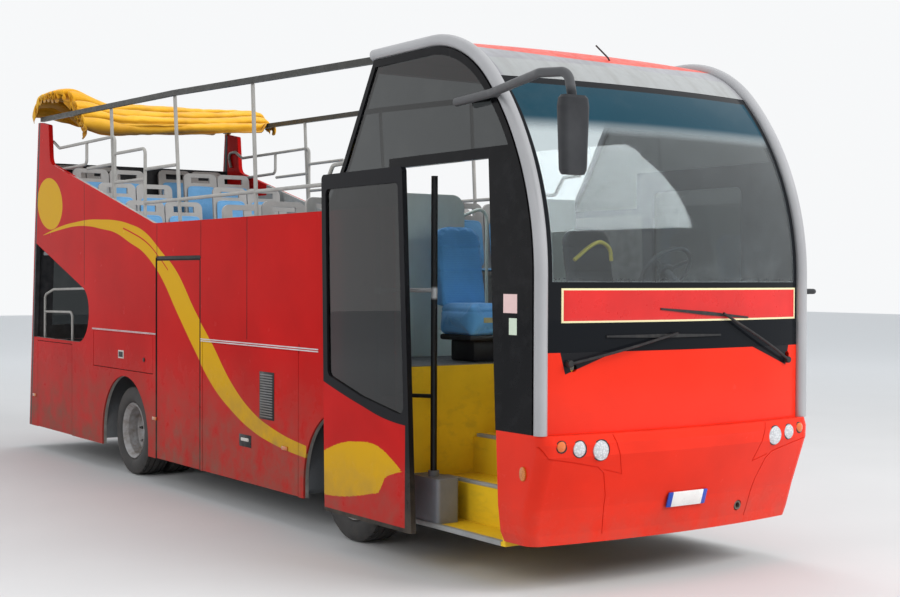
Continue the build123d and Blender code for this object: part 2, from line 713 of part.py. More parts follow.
def rim(y, side, dish):
    """One pressed wheel disc in its well; dish is how far the disc stands out of the middle."""
    half = TYRE_WIDTH / 2
    ring = ((RIM_RADIUS, -half + 28), (RIM_RADIUS, half - 28), (RIM_RADIUS + 6, half - 20), (RIM_RADIUS, half - 12),
            (RIM_RADIUS - 14, half - 26), (RIM_RADIUS - 40, half - 60), (RIM_RADIUS - 46, 0),
            (RIM_RADIUS - 40, -half + 60), (RIM_RADIUS - 14, -half + 26), (RIM_RADIUS, -half + 12),
            (RIM_RADIUS + 6, -half + 20))
    well = Face(Wire.make_polygon([Vector(r, w, 0) for r, w in ring], close=True))
    inner = SPINDLE_RADIUS + RUNNING_GAP
    edge = RIM_RADIUS - 43
    flat = STUD_CIRCLE / 2 + 30
    disc = ((inner, dish - DISC), (flat, dish - DISC), (edge, dish * 0.3 - 8), (edge, dish * 0.3 + 8),
            (flat, dish), (inner, dish))
    web = Face(Wire.make_polygon([Vector(r, w * side, 0) for r, w in disc], close=True))
    shape = revolve(well, axis=Axis.Y) + revolve(web, axis=Axis.Y)
    for k in range(STUD_COUNT):
        turn = Rot(0, 360 / STUD_COUNT * (k + 0.5), 0)
        middle = (flat + edge) / 2 + 2
        shape -= turn * (Pos(0, dish * side * 0.6, middle) * Rot(-90, 0, 0) * Cylinder(15, 160))
    return Pos(0, y, 0) * shape


def hub(y0, y1, side, cap):
    """Hub drum round the spindle, closed by a cap, with the studs through the disc."""
    low, high = sorted((y0, y1))
    drum = Pos(0, low, 0) * Rot(-90, 0, 0) * Cylinder(105, high - low, align=FROM_FOOT)
    drum += Pos(0, y1, 0) * Rot(-90, 0, 0) * Cylinder(70, 2 * cap)
    return drum


def wheel_set(station, side, discs, drum_y, cap):
    """Everything that turns on one end of an axle, apart from the tyres."""
    shape = Part()
    for y, dish in discs:
        shape += rim(y, side, dish)
    face_y = drum_y[1]
    shape += hub(drum_y[0], face_y, side, cap)
    for k in range(STUD_COUNT):
        turn = Rot(0, 360 / STUD_COUNT * k, 0)
        stud = Pos(0, face_y, STUD_CIRCLE / 2) * Rot(-90, 0, 0) * Cylinder(STUD_RADIUS, 74)
        shape += turn * stud
    spindle = y_cylinder(0, drum_y[0] - side * 60, drum_y[1] + side * (cap - 6), 0, SPINDLE_RADIUS + RUNNING_GAP)
    shape -= Pos(-x_at(0), 0, 0) * spindle
    return Pos(x_at(station), 0, AXLE_Z) * shape


def front_wheel(side):
    y = side * FRONT_TRACK_Y
    face = side * (FRONT_TRACK_Y + FRONT_DISH)
    return wheel_set(FRONT_AXLE, side, ((y, FRONT_DISH),), (side * (KINGPIN_Y + 90), face), FRONT_CAP)


def rear_wheels(side):
    outer = side * TWIN_OUTER_Y
    inner = side * TWIN_INNER_Y
    face = side * REAR_HUB_FACE
    discs = ((outer, REAR_HUB_FACE - TWIN_OUTER_Y), (inner, REAR_HUB_FACE - DISC - TWIN_INNER_Y))
    return wheel_set(REAR_AXLE, side, discs, (side * 600, face), REAR_CAP)


def tyres(station, ys):
    return Pos(x_at(station), 0, AXLE_Z) * (Part() + [tyre(y, 1) for y in ys])


# Floors, steps and inner walls

def inboard_steps(front, rear, y_edge, rows):
    """Steps that climb from a door towards the middle: rows of depth and height."""
    shape = Part()
    y = y_edge
    for depth, z in rows:
        shape += block(front, rear, y, y + depth, z - 30, z)
        shape += block(front, rear, y + depth - 20, y + depth, z - 30, z + 270)
        y += depth
    return shape


ENTRY_STEPS = ((310, 320), (300, 610), (300, 900), (300, 1160))
ENTRY = (470, 1640)
ENTRY_WALL = 30
HOUSING_Y = 570
HOUSING_TOP_Z = 1060


def wheel_house(station, y_inner):
    """Box over a wheel, open to the outside and below."""
    outer = block(station - ARCH_RADIUS - 15, station + ARCH_RADIUS + 15, y_inner - 15, INNER - FIT,
                  SKIRT_Z + 60, HOUSING_TOP_Z)
    inner = block(station - ARCH_RADIUS, station + ARCH_RADIUS, y_inner, INNER + 10, 0, HOUSING_TOP_Z - 15)
    axle_slot = block(station - 210, station + 210, y_inner - 20, y_inner + 5, 0, AXLE_Z + 200)
    return pair(outer - inner - axle_slot)


def cab_floor():
    """Entry steps, the raised cab floor and the bulkhead behind the front wheels."""
    y_top = -INNER + sum(depth for depth, _ in ENTRY_STEPS)
    plate_z = CAB_FLOOR_Z - FLOOR_SHEET
    floor = block(300, 2700, y_top + 2 * FIT, INNER - FIT, plate_z, CAB_FLOOR_Z)
    floor += block(ENTRY[1], 2700, -INNER + FIT, y_top + 1, plate_z, CAB_FLOOR_Z)
    floor += wheel_house(FRONT_AXLE, HOUSING_Y)
    floor += pair(block(2450, 2550, 700, 780, HOUSING_TOP_Z - 5, CAB_FLOOR_Z - 5))
    floor += inboard_steps(ENTRY[0] + FIT, ENTRY[1] - FIT, -INNER + FIT, ENTRY_STEPS)
    for station, top in ((ENTRY[0] - ENTRY_WALL, CAB_FLOOR_Z), (ENTRY[1], plate_z - FIT)):
        floor += block(station, station + ENTRY_WALL, -INNER + FIT, y_top, 290, top)
    return floor - rail_room()


DECK_STEPS = (
    # front station and height of each level of the open deck
    (2700 + FIT, DECK_Z),
    (6560, 1840),
    (7390, 2070),
    (8190, 2280),
    (9020, 2365),
)
DECK_END = 9740
STAIR = (5150, 6190)
STAIR_Y = 0


def upper_deck():
    ends = [front for front, _ in DECK_STEPS[1:]] + [DECK_END]
    deck = Part()
    last = CAB_FLOOR_Z
    for (front, z), end in zip(DECK_STEPS, ends):
        deck += block(front, end, -INNER + FIT, INNER - FIT, z - FLOOR_SHEET, z)
        deck += block(front, front + 30, -INNER + FIT, INNER - FIT, last - FLOOR_SHEET, z)
        last = z
    front, rear = STAIR
    deck -= block(front, rear, -INNER, STAIR_Y, DECK_Z - 300, DECK_Z + 50)
    return deck


MID_STEPS = ((249, 350), (240, 620), (240, 900), (240, 1170), (230, 1440))


def stairwell():
    """Steps inside the middle door, their walls and the guards above the deck."""
    front, rear = STAIR
    shape = inboard_steps(front + 2, rear - 2, -INNER + FIT, MID_STEPS)
    shape += block(front + FIT, front + 30, -INNER + FIT, STAIR_Y - FIT, 320, 2600)
    shape += block(rear - 30, rear - FIT, -INNER + FIT, STAIR_Y - FIT, 320, 2600)
    return shape - rail_room()


def lower_floor():
    """Luggage floor, rear lounge floor with its bulkheads, and the boxes over the rear wheels."""
    floor = pair(block(3200, 6300, RAIL_Y + 3, INNER - FIT, 290, 320)) - block(
        STAIR[0], STAIR[1], -INNER, STAIR_Y, 200, 400)
    floor += block(3200, 3230, -INNER + FIT, INNER - FIT, 290, 1655)
    floor += wheel_house(REAR_AXLE, 520)
    floor += block(6260, 9990, -INNER + FIT, INNER - FIT, LOUNGE_FLOOR_Z - FLOOR_SHEET, LOUNGE_FLOOR_Z)
    floor += block(6260, 6290, -INNER + FIT, INNER - FIT, 290, LOUNGE_FLOOR_Z)
    floor += pair(block(7000, 7080, 700, 780, HOUSING_TOP_Z - 5, LOUNGE_FLOOR_Z - 5))
    floor -= block(3190, 6295, -RAIL_Y + 20, RAIL_Y - 20, RAIL_Z[0], RAIL_Z[1])
    return floor - rail_room()


# Seats

SEAT_WIDE = 430
SEAT_PAIR_Y = 690
SEAT_BASE_Z = 400
SEAT_BASE_THICK = 32
SEAT_BACK_HIGH = 1050
SEAT_LEAN = 0.12
SEAT_CORNER = 70
PAD_THICK = 22
SEAT_TABLE = (
    # station of the seat's back, floor height, 1 where the right side has a pair too
    (3300, DECK_Z, 1),
    (4100, DECK_Z, 1),
    (4900, DECK_Z, 1),
    (5700, DECK_Z, 0),
    (6480, DECK_Z, 0),
    (7270, 1840, 1),
    (8080, 2070, 1),
    (8900, 2280, 1),
    (9670, 2365, 1),
)


def back_face(z):
    """How far behind the seat's station the front of its back stands, at a height over the floor."""
    return -40 + (z - SEAT_BASE_Z) * SEAT_LEAN


def seat_shell(station, y, floor_z):
    """A moulded seat on a leg: dished base, tall back with a grab opening at its top."""
    base = block(station - 430, station - 20, y - SEAT_WIDE / 2, y + SEAT_WIDE / 2,
                 floor_z + SEAT_BASE_Z, floor_z + SEAT_BASE_Z + SEAT_BASE_THICK)
    rows = ((station + back_face(SEAT_BASE_Z), floor_z + SEAT_BASE_Z, 0),
            (station + back_face(SEAT_BASE_Z) + 38, floor_z + SEAT_BASE_Z, 0),
            (station + back_face(SEAT_BACK_HIGH) + 30, floor_z + SEAT_BACK_HIGH, 0),
            (station + back_face(SEAT_BACK_HIGH), floor_z + SEAT_BACK_HIGH, 0))
    back = side_plate(rows, y - SEAT_WIDE / 2, y + SEAT_WIDE / 2)
    back = fillet(back.edges().filter_by(Axis.X).sort_by(Axis.Z)[-2:], SEAT_CORNER)
    grab = block(station - 60, station + 160, y - 120, y + 120, floor_z + 935, floor_z + 1000)
    return base + back - grab


def seat_pair(station, floor_z, side):
    shape = Part()
    for offset in (-SEAT_WIDE / 2 - 6, SEAT_WIDE / 2 + 6):
        shape += seat_shell(station, side * SEAT_PAIR_Y + offset, floor_z)
    inner = side * SEAT_PAIR_Y
    shape += block(station - 330, station - 90, inner - 400, inner + 400, floor_z + 370, floor_z + SEAT_BASE_Z + 1)
    for offset in (-250, 250):
        shape += block(station - 240, station - 180, inner + offset - 20, inner + offset + 20,
                       floor_z + FIT, floor_z + 371)
    return shape


def seat_pads_of(station, floor_z, side):
    shape = Part()
    for offset in (-SEAT_WIDE / 2 - 6, SEAT_WIDE / 2 + 6):
        y = side * SEAT_PAIR_Y + offset
        half = SEAT_WIDE / 2 - 30
        shape += block(station - 420, station - 70, y - half, y + half,
                       floor_z + SEAT_BASE_Z + SEAT_BASE_THICK + FIT, floor_z + 460)
        low = station + back_face(470)
        high = station + back_face(900)
        rows = ((low - PAD_THICK, floor_z + 470, 0), (low - FIT, floor_z + 470, 0),
                (high - FIT, floor_z + 900, 0), (high - PAD_THICK, floor_z + 900, 0))
        shape += side_plate(rows, y - half, y + half)
    return shape


def deck_seats(build):
    shape = Part()
    for station, floor_z, right in SEAT_TABLE:
        shape += build(station, floor_z, 1)
        if right:
            shape += build(station, floor_z, -1)
    return shape


def cab_seat(station, y, floor_z, wide, high):
    """A padded seat on a pedestal: cushion, back and head rest in one."""
    half = wide / 2
    base = block(station - 400, station - 60, y - half * 0.6, y + half * 0.6, floor_z + FIT, floor_z + 300)
    cushion = fillet(block(station - 460, station, y - half, y + half, floor_z + 300, floor_z + 440).edges(), 30)
    rows = ((station - 110, floor_z + 420, 30), (station, floor_z + 380, 30),
            (station + 110, floor_z + high, 40), (station + 10, floor_z + high, 40))
    return base + cushion + side_plate(rows, y - half, y + half)


GUIDE_SEAT = (2190, -345)
DRIVER_SEAT = (1750, 640)


def dashboard():
    """Dashboard across the cab with the steering column and wheel."""
    rows = ((120, CAB_FLOOR_Z + FIT, 0), (120, 1950, 60), (210, 2060, 40), (520, 2010, 60), (560, 1900, 30),
            (430, CAB_FLOOR_Z + FIT, 0))
    top = side_plate(rows, 60, INNER - 60)
    shelf = side_plate(((120, 1620, 0), (120, 1950, 60), (210, 2060, 40), (420, 2030, 40), (430, 1620, 0)),
                       -INNER + 60, 61)
    wheel_centre = (880, DRIVER_SEAT[1], 2140)
    column = round_bar((520, DRIVER_SEAT[1], 1850), wheel_centre, 32)
    plane = Plane(origin=(x_at(wheel_centre[0]), wheel_centre[1], wheel_centre[2]),
                  z_dir=(-wheel_centre[0] + 520, 0, wheel_centre[2] - 1850))
    ring = plane * Torus(215, 16)
    for turn in (0, 120, 240):
        ring += plane * Rot(0, 0, turn) * Pos(108, 0, 0) * Box(215, 34, 14)
    ring += plane * Cylinder(60, 40)
    return top + shelf + column + ring


PARTITION = (2640, 2670)
PARTITION_TOP_Z = 2770
PASSAGE = (0, 700)
PASSAGE_RAIL_Y = 243


def partition():
    """The pale wall behind the crew seats, with the handrail beside its passage."""
    front, rear = PARTITION
    wall = block(front, rear, -INNER + FIT, PASSAGE[0], CAB_FLOOR_Z + FIT, PARTITION_TOP_Z)
    corner = max(wall.edges().filter_by(Axis.X), key=lambda edge: edge.center().Y + edge.center().Z)
    wall = fillet(corner, 120)
    wall += block(front, rear, PASSAGE[1], INNER - FIT, CAB_FLOOR_Z + FIT, PARTITION_TOP_Z)
    middle = (front + rear) / 2
    wall += bent_tube(((middle, PASSAGE[0] - 5, 2600), (middle, PASSAGE_RAIL_Y, 2690),
                       (middle, PASSAGE_RAIL_Y, CAB_FLOOR_Z + FIT)), 14, 80)
    return wall


# Handrails on the deck

RAIL_TUBE = 17
POST_TUBE = 18
RAIL_SIDE_Y = INNER - POST_TUBE - FIT
ROOF_RAIL_Y = 1200
SIDE_RAILS = (
    # each rail: points of station and height, all just inside the side wall
    ((9560, 3480), (9650, 3660), (9440, 3668), (9230, 3575), (7485, 3578), (7485, 2860)),
    ((9250, 3320), (8330, 3331), (8330, 3570)),
    ((8300, 3281), (7500, 3284)),
    ((7480, 3390), (6650, 3390), (6650, 2640)),
    ((7440, 3080), (6660, 3076)),
    ((6640, 3175), (5850, 3172)),
    ((6640, 2830), (2900, 2830), (2790, 2976), (2560, 2985)),
)
ROOF_RAIL = ((CAB_REAR + FIT, 3730), (5857, 3872), (9790, 3955))
ROOF_RAIL_DEEP = 26
PLATFORM_RAIL_Y = 1165
PLATFORM_RAIL_TUBE = 15
PLATFORM_RAILS = (
    # loops in the open sides of the rear platform: points of station and height
    ((9800, LOUNGE_FLOOR_Z + FIT), (9790, 1850), (9480, 1918), (8150, 1943), (8150, LOUNGE_FLOOR_Z + FIT)),
    ((9795, 1648), (8841, 1662), (8841, LOUNGE_FLOOR_Z + FIT)),
)
RAIL_POSTS = (
    # station at the foot, height of the foot, station at the top
    (4130, 2540, 4215),
    (5765, 2540, 5905),
    (7500, 2860, 7590),
)


def rail_z(station):
    """The height of the roof rail's middle line at a station."""
    first, second = ROOF_RAIL[:2] if station < ROOF_RAIL[1][0] else ROOF_RAIL[1:]
    return first[1] + (station - first[0]) / (second[0] - first[0]) * (second[1] - first[1])


def side_rails():
    """Handrail loops along the deck with the posts that carry the roof rails."""
    shape = Part()
    for rail in SIDE_RAILS:
        points = [(station, -RAIL_SIDE_Y, z) for station, z in rail]
        if len(points) == 2:
            shape += round_bar(points[0], points[1], RAIL_TUBE)
        else:
            shape += bent_tube(points, RAIL_TUBE, 60)
    for foot, z, top in RAIL_POSTS:
        shape += round_bar((foot, -RAIL_SIDE_Y, z), (top, -RAIL_SIDE_Y, rail_z(top)), POST_TUBE)
    for rail in PLATFORM_RAILS:
        shape += bent_tube([(station, -PLATFORM_RAIL_Y, z) for station, z in rail], PLATFORM_RAIL_TUBE, 75)
    above = [(station, z - ROOF_RAIL_DEEP - FIT, 0) for station, z in ROOF_RAIL]
    above += [(station, z + 100, 0) for station, z in reversed(ROOF_RAIL)]
    return pair(shape - side_plate(above, -HALF, -INNER + 100))


def roof_rails():
    """The two long dark rails that the canopy runs on."""
    rows = [(station, z - ROOF_RAIL_DEEP, 0) for station, z in ROOF_RAIL]
    rows += [(station, z + ROOF_RAIL_DEEP, 0) for station, z in reversed(ROOF_RAIL)]
    return pair(side_plate(rows, -ROOF_RAIL_Y - 22, -ROOF_RAIL_Y + 22))


TARP_FRONT = 8150
TARP_REAR = 9900


def tarp():
    """The gathered canopy across the rails at the rear, as one soft body."""
    lift = ROOF_RAIL_DEEP + FIT
    rows = ((TARP_REAR, rail_z(TARP_REAR) + lift, 0), (TARP_REAR + 30, 4130, 100), (9450, 4230, 200),
            (8900, 4060, 300), (8400, 4100, 120), (TARP_FRONT, 4010, 60),
            (TARP_FRONT, rail_z(TARP_FRONT) + lift, 0))
    return side_plate(rows, -HALF - 20, HALF + 20)


# Mirrors and wipers

def hoop_station(z):
    """The station of the hoop's centre line at a height."""
    for edge in hoop_edges(0):
        low, high = edge @ 0, edge @ 1
        if low.Z <= z <= high.Z:
            share = 0.5
            step = 0.25
            while step > 1e-4:
                share += step if (edge @ share).Z < z else -step
                step /= 2
            return FRONT_X - (edge @ share).X
    return CAB_REAR


MIRROR_REACH_Y = 1460
ARM_LEVEL = 3300
RIGHT_ARM_Y = HOOP_Y + HOOP_TUBE + 60


ARM_RADIUS = 30
HEAD_Y = 1330
HEAD_SECTIONS = (
    # height, width and depth of the right mirror's head
    (2715, 160, 64),
    (2745, 192, 80),
    (3130, 220, 90),
    (3180, 205, 84),
    (3198, 170, 66),
)
LEFT_HEAD = (260, 380, 2080, 2660)
LEFT_ARM_Z = 1990


def mirrors():
    """A long arm and head from the right hoop, and a short one low on the left."""
    clamp_station = hoop_station(ARM_LEVEL)
    head_station = -MIRROR_AHEAD + max(depth for _, _, depth in HEAD_SECTIONS) / 2
    out_y = MIRROR_REACH_Y - ARM_RADIUS
    arm = bent_tube(((860, -RIGHT_ARM_Y, ARM_LEVEL - 20), (clamp_station, -RIGHT_ARM_Y, ARM_LEVEL),
                     (-200, -out_y, ARM_LEVEL + 50), (head_station, -out_y + 60, ARM_LEVEL + 40),
                     (head_station, -HEAD_Y, HEAD_SECTIONS[-1][0] - 40)), ARM_RADIUS, 60)
    arm += y_cylinder(clamp_station, -RIGHT_ARM_Y, -HOOP_Y - HOOP_TUBE - FIT, ARM_LEVEL, 24)
    head = loft([Pos(x_at(head_station), -HEAD_Y, z) * RectangleRounded(depth, wide, depth * 0.42)
                 for z, wide, depth in HEAD_SECTIONS], ruled=True)
    front, rear, low, high = LEFT_HEAD
    left_y = (HOOP_Y + HOOP_TUBE + MIRROR_REACH_Y) / 2 + 15
    left_clamp = hoop_station(LEFT_ARM_Z)
    left_station = (front + rear) / 2
    left_arm = bent_tube(((left_clamp, HOOP_Y + HOOP_TUBE + FIT, LEFT_ARM_Z), (left_clamp, left_y, LEFT_ARM_Z),
                          (left_station, left_y, LEFT_ARM_Z), (left_station, left_y, low + 20)), 20, 38)
    left_head = fillet(block(front, rear, 1290, MIRROR_REACH_Y, low, high).edges(), 40)
    return (arm + head) + (left_arm + left_head)


def wipers():
    """Each wiper turns on a spindle through the front panel."""
    shape = Part()
    for y, z, tip_y, tip_z in WIPERS:
        x_pivot = x_at(HOOP_STATION) + BULGE - (PLAN_RADIUS - math.sqrt(PLAN_RADIUS**2 - y**2))
        x_tip = x_at(HOOP_STATION) + BULGE - (PLAN_RADIUS - math.sqrt(PLAN_RADIUS**2 - tip_y**2))
        shape += Pos(x_pivot + 10, y, z) * Rot(0, 90, 0) * Cylinder(WIPER_SPINDLE, 76)
        a = Vector(x_pivot + 40, y, z)
        b = Vector(x_tip + 40, tip_y, tip_z)
        shape += Plane(origin=a, z_dir=b - a) * Cylinder(11, (b - a).length, align=FROM_FOOT)
    return shape


# The front door

def bar_place():
    """How far behind and outside the post the leaf's bar stands when the leaf is open."""
    shut_out = POST_Y - LEAF_SHUT_Y - BAR_STANDOFF
    open_out = shut_out + LEAF_OUT
    open_back = (LEAF_BACK**2 + shut_out**2 - open_out**2) / (2 * LEAF_BACK)
    return open_back, open_out


def leaf_rows(inset, low=DOOR_SILL_Z, high=DOOR_HEAD_Z - 12):
    """The leaf's outline where it stands open."""
    front_gap = LEAF_BACK + LEAF_FRONT_GAP + inset
    rear_gap = LEAF_BACK - LEAF_REAR_GAP - inset
    return ((jamb_at(DOOR_FRONT_JAMB, low) + front_gap, low, 12),
            (jamb_at(DOOR_REAR_JAMB, low) + rear_gap, low, 12),
            (jamb_at(DOOR_REAR_JAMB, high) + rear_gap, high, 40),
            (jamb_at(DOOR_FRONT_JAMB, high) + front_gap, high, 40))


LEAF_SILL = (1097, 1330)
LEAF_FRAME = 62


def door_pane_rows(inset):
    """The leaf's glass, above the curved top of its red lower part."""
    rows = leaf_rows(LEAF_FRAME + inset, low=LEAF_SILL[0], high=2760 - inset)
    front, rear, rear_top, front_top = rows
    return ((front[0], LEAF_SILL[0] + inset, 60), ((front[0] * 0.45 + rear[0] * 0.55), 1200 + inset, 600),
            (rear[0], LEAF_SILL[1] + inset, 60), (rear_top[0], rear_top[1], 40),
            (front_top[0], front_top[1], 40))


SLEEVE_RADIUS = 26
SLEEVE_HIGH = 60


def front_door():
    """The leaf with its window hole and the upright bar that the arms hold."""
    leaf = side_plate(leaf_rows(0), LEAF_OPEN_Y - LEAF_THICK, LEAF_OPEN_Y)
    leaf -= side_plate(door_pane_rows(0), LEAF_OPEN_Y - LEAF_THICK - 5, LEAF_OPEN_Y + 5)
    open_back, open_out = bar_place()
    station = POST_STATION + open_back
    y = POST_Y - open_out
    leaf += round_bar((station, y, 1080), (station, y, 2820), BAR_RADIUS)
    for z in (1080, 2795):
        leaf += block(station - 22, station + 22, LEAF_OPEN_Y - 1, y + 8, z, z + 25)
    return leaf


def front_door_glass():
    middle = LEAF_OPEN_Y - LEAF_THICK / 2
    return side_plate(door_pane_rows(0.5), middle - 4, middle + 4)


def door_arm():
    """The turning post inside the doorway, with the two arms that carry the leaf."""
    open_back, open_out = bar_place()
    station = POST_STATION + open_back
    y = POST_Y - open_out
    shape = round_bar((POST_STATION, POST_Y, 680), (POST_STATION, POST_Y, 2820), 24)
    for z in ARM_HEIGHTS:
        arm = round_bar((POST_STATION, POST_Y, z), (station, y, z), 15)
        arm += Pos(x_at(station), y, z) * Cylinder(SLEEVE_RADIUS, SLEEVE_HIGH)
        shape += arm - Pos(x_at(station), y, z) * Cylinder(BAR_RADIUS + RUNNING_GAP, SLEEVE_HIGH + 10)
    return shape


def door_drive():
    box = block(1262, ENTRY[1] - FIT, -1190, -1000, ENTRY_STEPS[0][1] + FIT, 640)
    box = fillet(box.edges().filter_by(Axis.Z), 25)
    cap = Pos(x_at(POST_STATION), POST_Y, 640) * Cylinder(40, 39.5, align=FROM_FOOT)
    return box + cap


# The middle door and the flaps

def mid_door():
    front, rear = MID_DOOR
    leaf = block(front, rear, -HALF + 4, -HALF + 44, SKIRT_Z + 5, MID_DOOR_TOP_Z)
    return leaf


def flap(rows, side):
    low, high = sorted((side * (HALF - 1), side * (HALF - 41)))
    return side_plate(flap_rows(rows), low, high)


def build():
    os.makedirs("parts", exist_ok=True)
    save("chassis_frame", chassis_frame())
    save("engine_block", engine_block())
    save("fuel_tank", fuel_tank())
    save("front_axle", front_axle())
    save("rear_axle", rear_axle())
    for name, side in (("left", 1), ("right", -1)):
        save(f"knuckle_{name}", knuckle(side))
        save(f"rim_front_{name}", front_wheel(side))
        save(f"rims_rear_{name}", rear_wheels(side))
        save(f"tyre_front_{name}", tyres(FRONT_AXLE, (side * FRONT_TRACK_Y,)))
        save(f"tyres_rear_{name}", tyres(REAR_AXLE, (side * TWIN_OUTER_Y, side * TWIN_INNER_Y)))
        save(f"locker_flap_{name}", flap(LOCKER_FLAP, side))
        save(f"arch_flap_{name}", flap(ARCH_FLAP, side))
    save("rear_locker_door", flap(REAR_LOCKER, -1))
    save("side_right", side_right())
    save("side_left", side_left())
    save("cab_sides", cab_sides())
    save("rear_wall", rear_wall())
    save("engine_lid", engine_lid())
    save("front_mask", front_mask())
    save("bumper", bumper())
    save("lamps", lamps())
    save("windscreen", windscreen())
    save("side_glass", side_glass())
    save("front_hoops", front_hoops())
    save("cab_roof", cab_roof())
    save("dashboard", dashboard())
    save("driver_seat", cab_seat(DRIVER_SEAT[0], DRIVER_SEAT[1], CAB_FLOOR_Z, 500, 1080))
    save("guide_seat", cab_seat(GUIDE_SEAT[0], GUIDE_SEAT[1], CAB_FLOOR_Z, 480, 1080))
    save("cab_floor", cab_floor())
    save("partition", partition())
    save("lower_floor", lower_floor())
    save("stairwell", stairwell())
    save("upper_deck", upper_deck())
    save("deck_seats", deck_seats(seat_pair))
    save("seat_pads", deck_seats(seat_pads_of))
    save("side_rails", side_rails())
    save("roof_rails", roof_rails())
    save("tarp", tarp())
    save("mirrors", mirrors())
    save("wipers", wipers())
    save("front_door", front_door())
    save("front_door_glass", front_door_glass())
    save("door_arm", door_arm())
    save("door_drive", door_drive())
    save("mid_door", mid_door())


build()
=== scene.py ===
"""Looks of the open top double decker bus: finishes for its solids, and pieces of cloth, rubber and trim."""

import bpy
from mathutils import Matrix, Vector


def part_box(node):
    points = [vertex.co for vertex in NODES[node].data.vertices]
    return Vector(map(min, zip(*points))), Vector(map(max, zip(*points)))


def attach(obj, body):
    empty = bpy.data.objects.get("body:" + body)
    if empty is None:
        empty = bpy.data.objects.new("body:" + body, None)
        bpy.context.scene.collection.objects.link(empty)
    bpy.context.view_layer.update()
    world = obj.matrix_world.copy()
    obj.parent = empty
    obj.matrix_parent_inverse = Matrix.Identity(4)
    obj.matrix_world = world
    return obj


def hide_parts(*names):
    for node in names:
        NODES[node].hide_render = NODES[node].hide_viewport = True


bl_info = {
    "name": "Open top double decker bus",
    "version": (1, 0, 0),
    "blender": (4, 5, 0),
    "location": "3D View > Sidebar > Bus",
    "description": "Dresses the solids of an open top bus with paint, glass, tyres, seats, canopy and trim",
    "category": "Object",
}

import math

import bmesh
import bpy
from bpy.props import FloatProperty, FloatVectorProperty, IntProperty, PointerProperty
from mathutils import Matrix, Vector, noise
from mathutils.bvhtree import BVHTree

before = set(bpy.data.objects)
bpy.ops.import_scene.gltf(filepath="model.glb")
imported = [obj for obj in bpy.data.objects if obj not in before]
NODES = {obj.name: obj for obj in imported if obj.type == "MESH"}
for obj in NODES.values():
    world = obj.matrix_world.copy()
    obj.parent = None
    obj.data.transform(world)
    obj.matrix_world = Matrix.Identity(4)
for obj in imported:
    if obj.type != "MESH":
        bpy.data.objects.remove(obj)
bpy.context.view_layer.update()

# Places on the bus, in metres: stations count back from the front plate

PLATE_X = 4.835
SIDE_Y = 1.25
CREW_FLOOR = 1.43


def x_of(station):
    return PLATE_X - station


# Helpers for meshes


def new_piece(bm, name, material, body, crease=35.0):
    """Turn a bmesh into an object at the origin that rides on a body."""
    bmesh.ops.remove_doubles(bm, verts=bm.verts, dist=1e-5)
    bmesh.ops.recalc_face_normals(bm, faces=bm.faces)
    mesh = bpy.data.meshes.new(name)
    bm.to_mesh(mesh)
    bm.free()
    return place_piece(mesh, name, material, body, crease)


def place_piece(mesh, name, material, body, crease=35.0):
    mesh.shade_smooth()
    mesh.set_sharp_from_angle(angle=math.radians(crease))
    mesh.materials.clear()
    mesh.materials.append(material)
    piece = bpy.data.objects.new(name, mesh)
    bpy.context.scene.collection.objects.link(piece)
    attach(piece, body)
    return piece


def edges_of(verts):
    return list({edge for vert in verts for edge in vert.link_edges})


def rounded(bm, edges, offset, segments=2):
    """Round some edges, and give the vertices that this makes."""
    return bmesh.ops.bevel(bm, geom=edges, offset=offset, offset_type="OFFSET", segments=segments, profile=0.5,
                           affect="EDGES", material=-1)["verts"]


def sized_cube(bm, size):
    made = bmesh.ops.create_cube(bm, size=1.0)["verts"]
    bmesh.ops.scale(bm, vec=size, verts=made)
    return made


def rounded_box(bm, lo, hi, radius, segments=2):
    """A box between two corners with its edges rounded."""
    size = [high - low for low, high in zip(lo, hi)]
    made = sized_cube(bm, size)
    bmesh.ops.translate(bm, vec=[(high + low) / 2 for low, high in zip(lo, hi)], verts=made)
    return rounded(bm, edges_of(made), min(radius, min(size) * 0.49), segments)


def boxes(name, rows, material):
    """A piece of rounded boxes on the body: each row is two corners, a radius and its steps."""
    bm = bmesh.new()
    for row in rows:
        rounded_box(bm, *row)
    return new_piece(bm, name, material, "bus_body")


def round_plate(bm, centre, radius, thick, axis="Y", sides=28, bevel=0.002):
    """A short round plate with a rounded rim."""
    made = bmesh.ops.create_cone(bm, cap_ends=True, segments=sides, radius1=radius, radius2=radius,
                                 depth=thick)["verts"]
    turned = "X" if axis == "Y" else "Y"
    bmesh.ops.rotate(bm, verts=made, cent=(0, 0, 0), matrix=Matrix.Rotation(math.pi / 2, 3, turned))
    bmesh.ops.translate(bm, vec=centre, verts=made)
    rim = [edge for edge in edges_of(made) if max(len(face.verts) for face in edge.link_faces) == sides]
    return grow(rounded(bm, rim, bevel))


def grow(verts):
    """All vertices joined to the given ones."""
    found = set(verts)
    edge = list(found)
    while edge:
        vert = edge.pop()
        for link in vert.link_edges:
            other = link.other_vert(vert)
            if other not in found:
                found.add(other)
                edge.append(other)
    return list(found)


def bend_points(points, bend):
    """The points of a line, with a short curve in place of each corner."""
    way = [Vector(point) for point in points]
    line = [way[0]]
    for before, corner, after in zip(way, way[1:], way[2:]):
        reach = min(bend, (corner - before).length * 0.45, (after - corner).length * 0.45)
        if reach < 1e-4:
            line.append(corner)
            continue
        enter = corner + (before - corner).normalized() * reach
        leave = corner + (after - corner).normalized() * reach
        for share in (step / 6 for step in range(7)):
            line.append(enter * (1 - share) ** 2 + corner * 2 * share * (1 - share) + leave * share ** 2)
    line.append(way[-1])
    return line


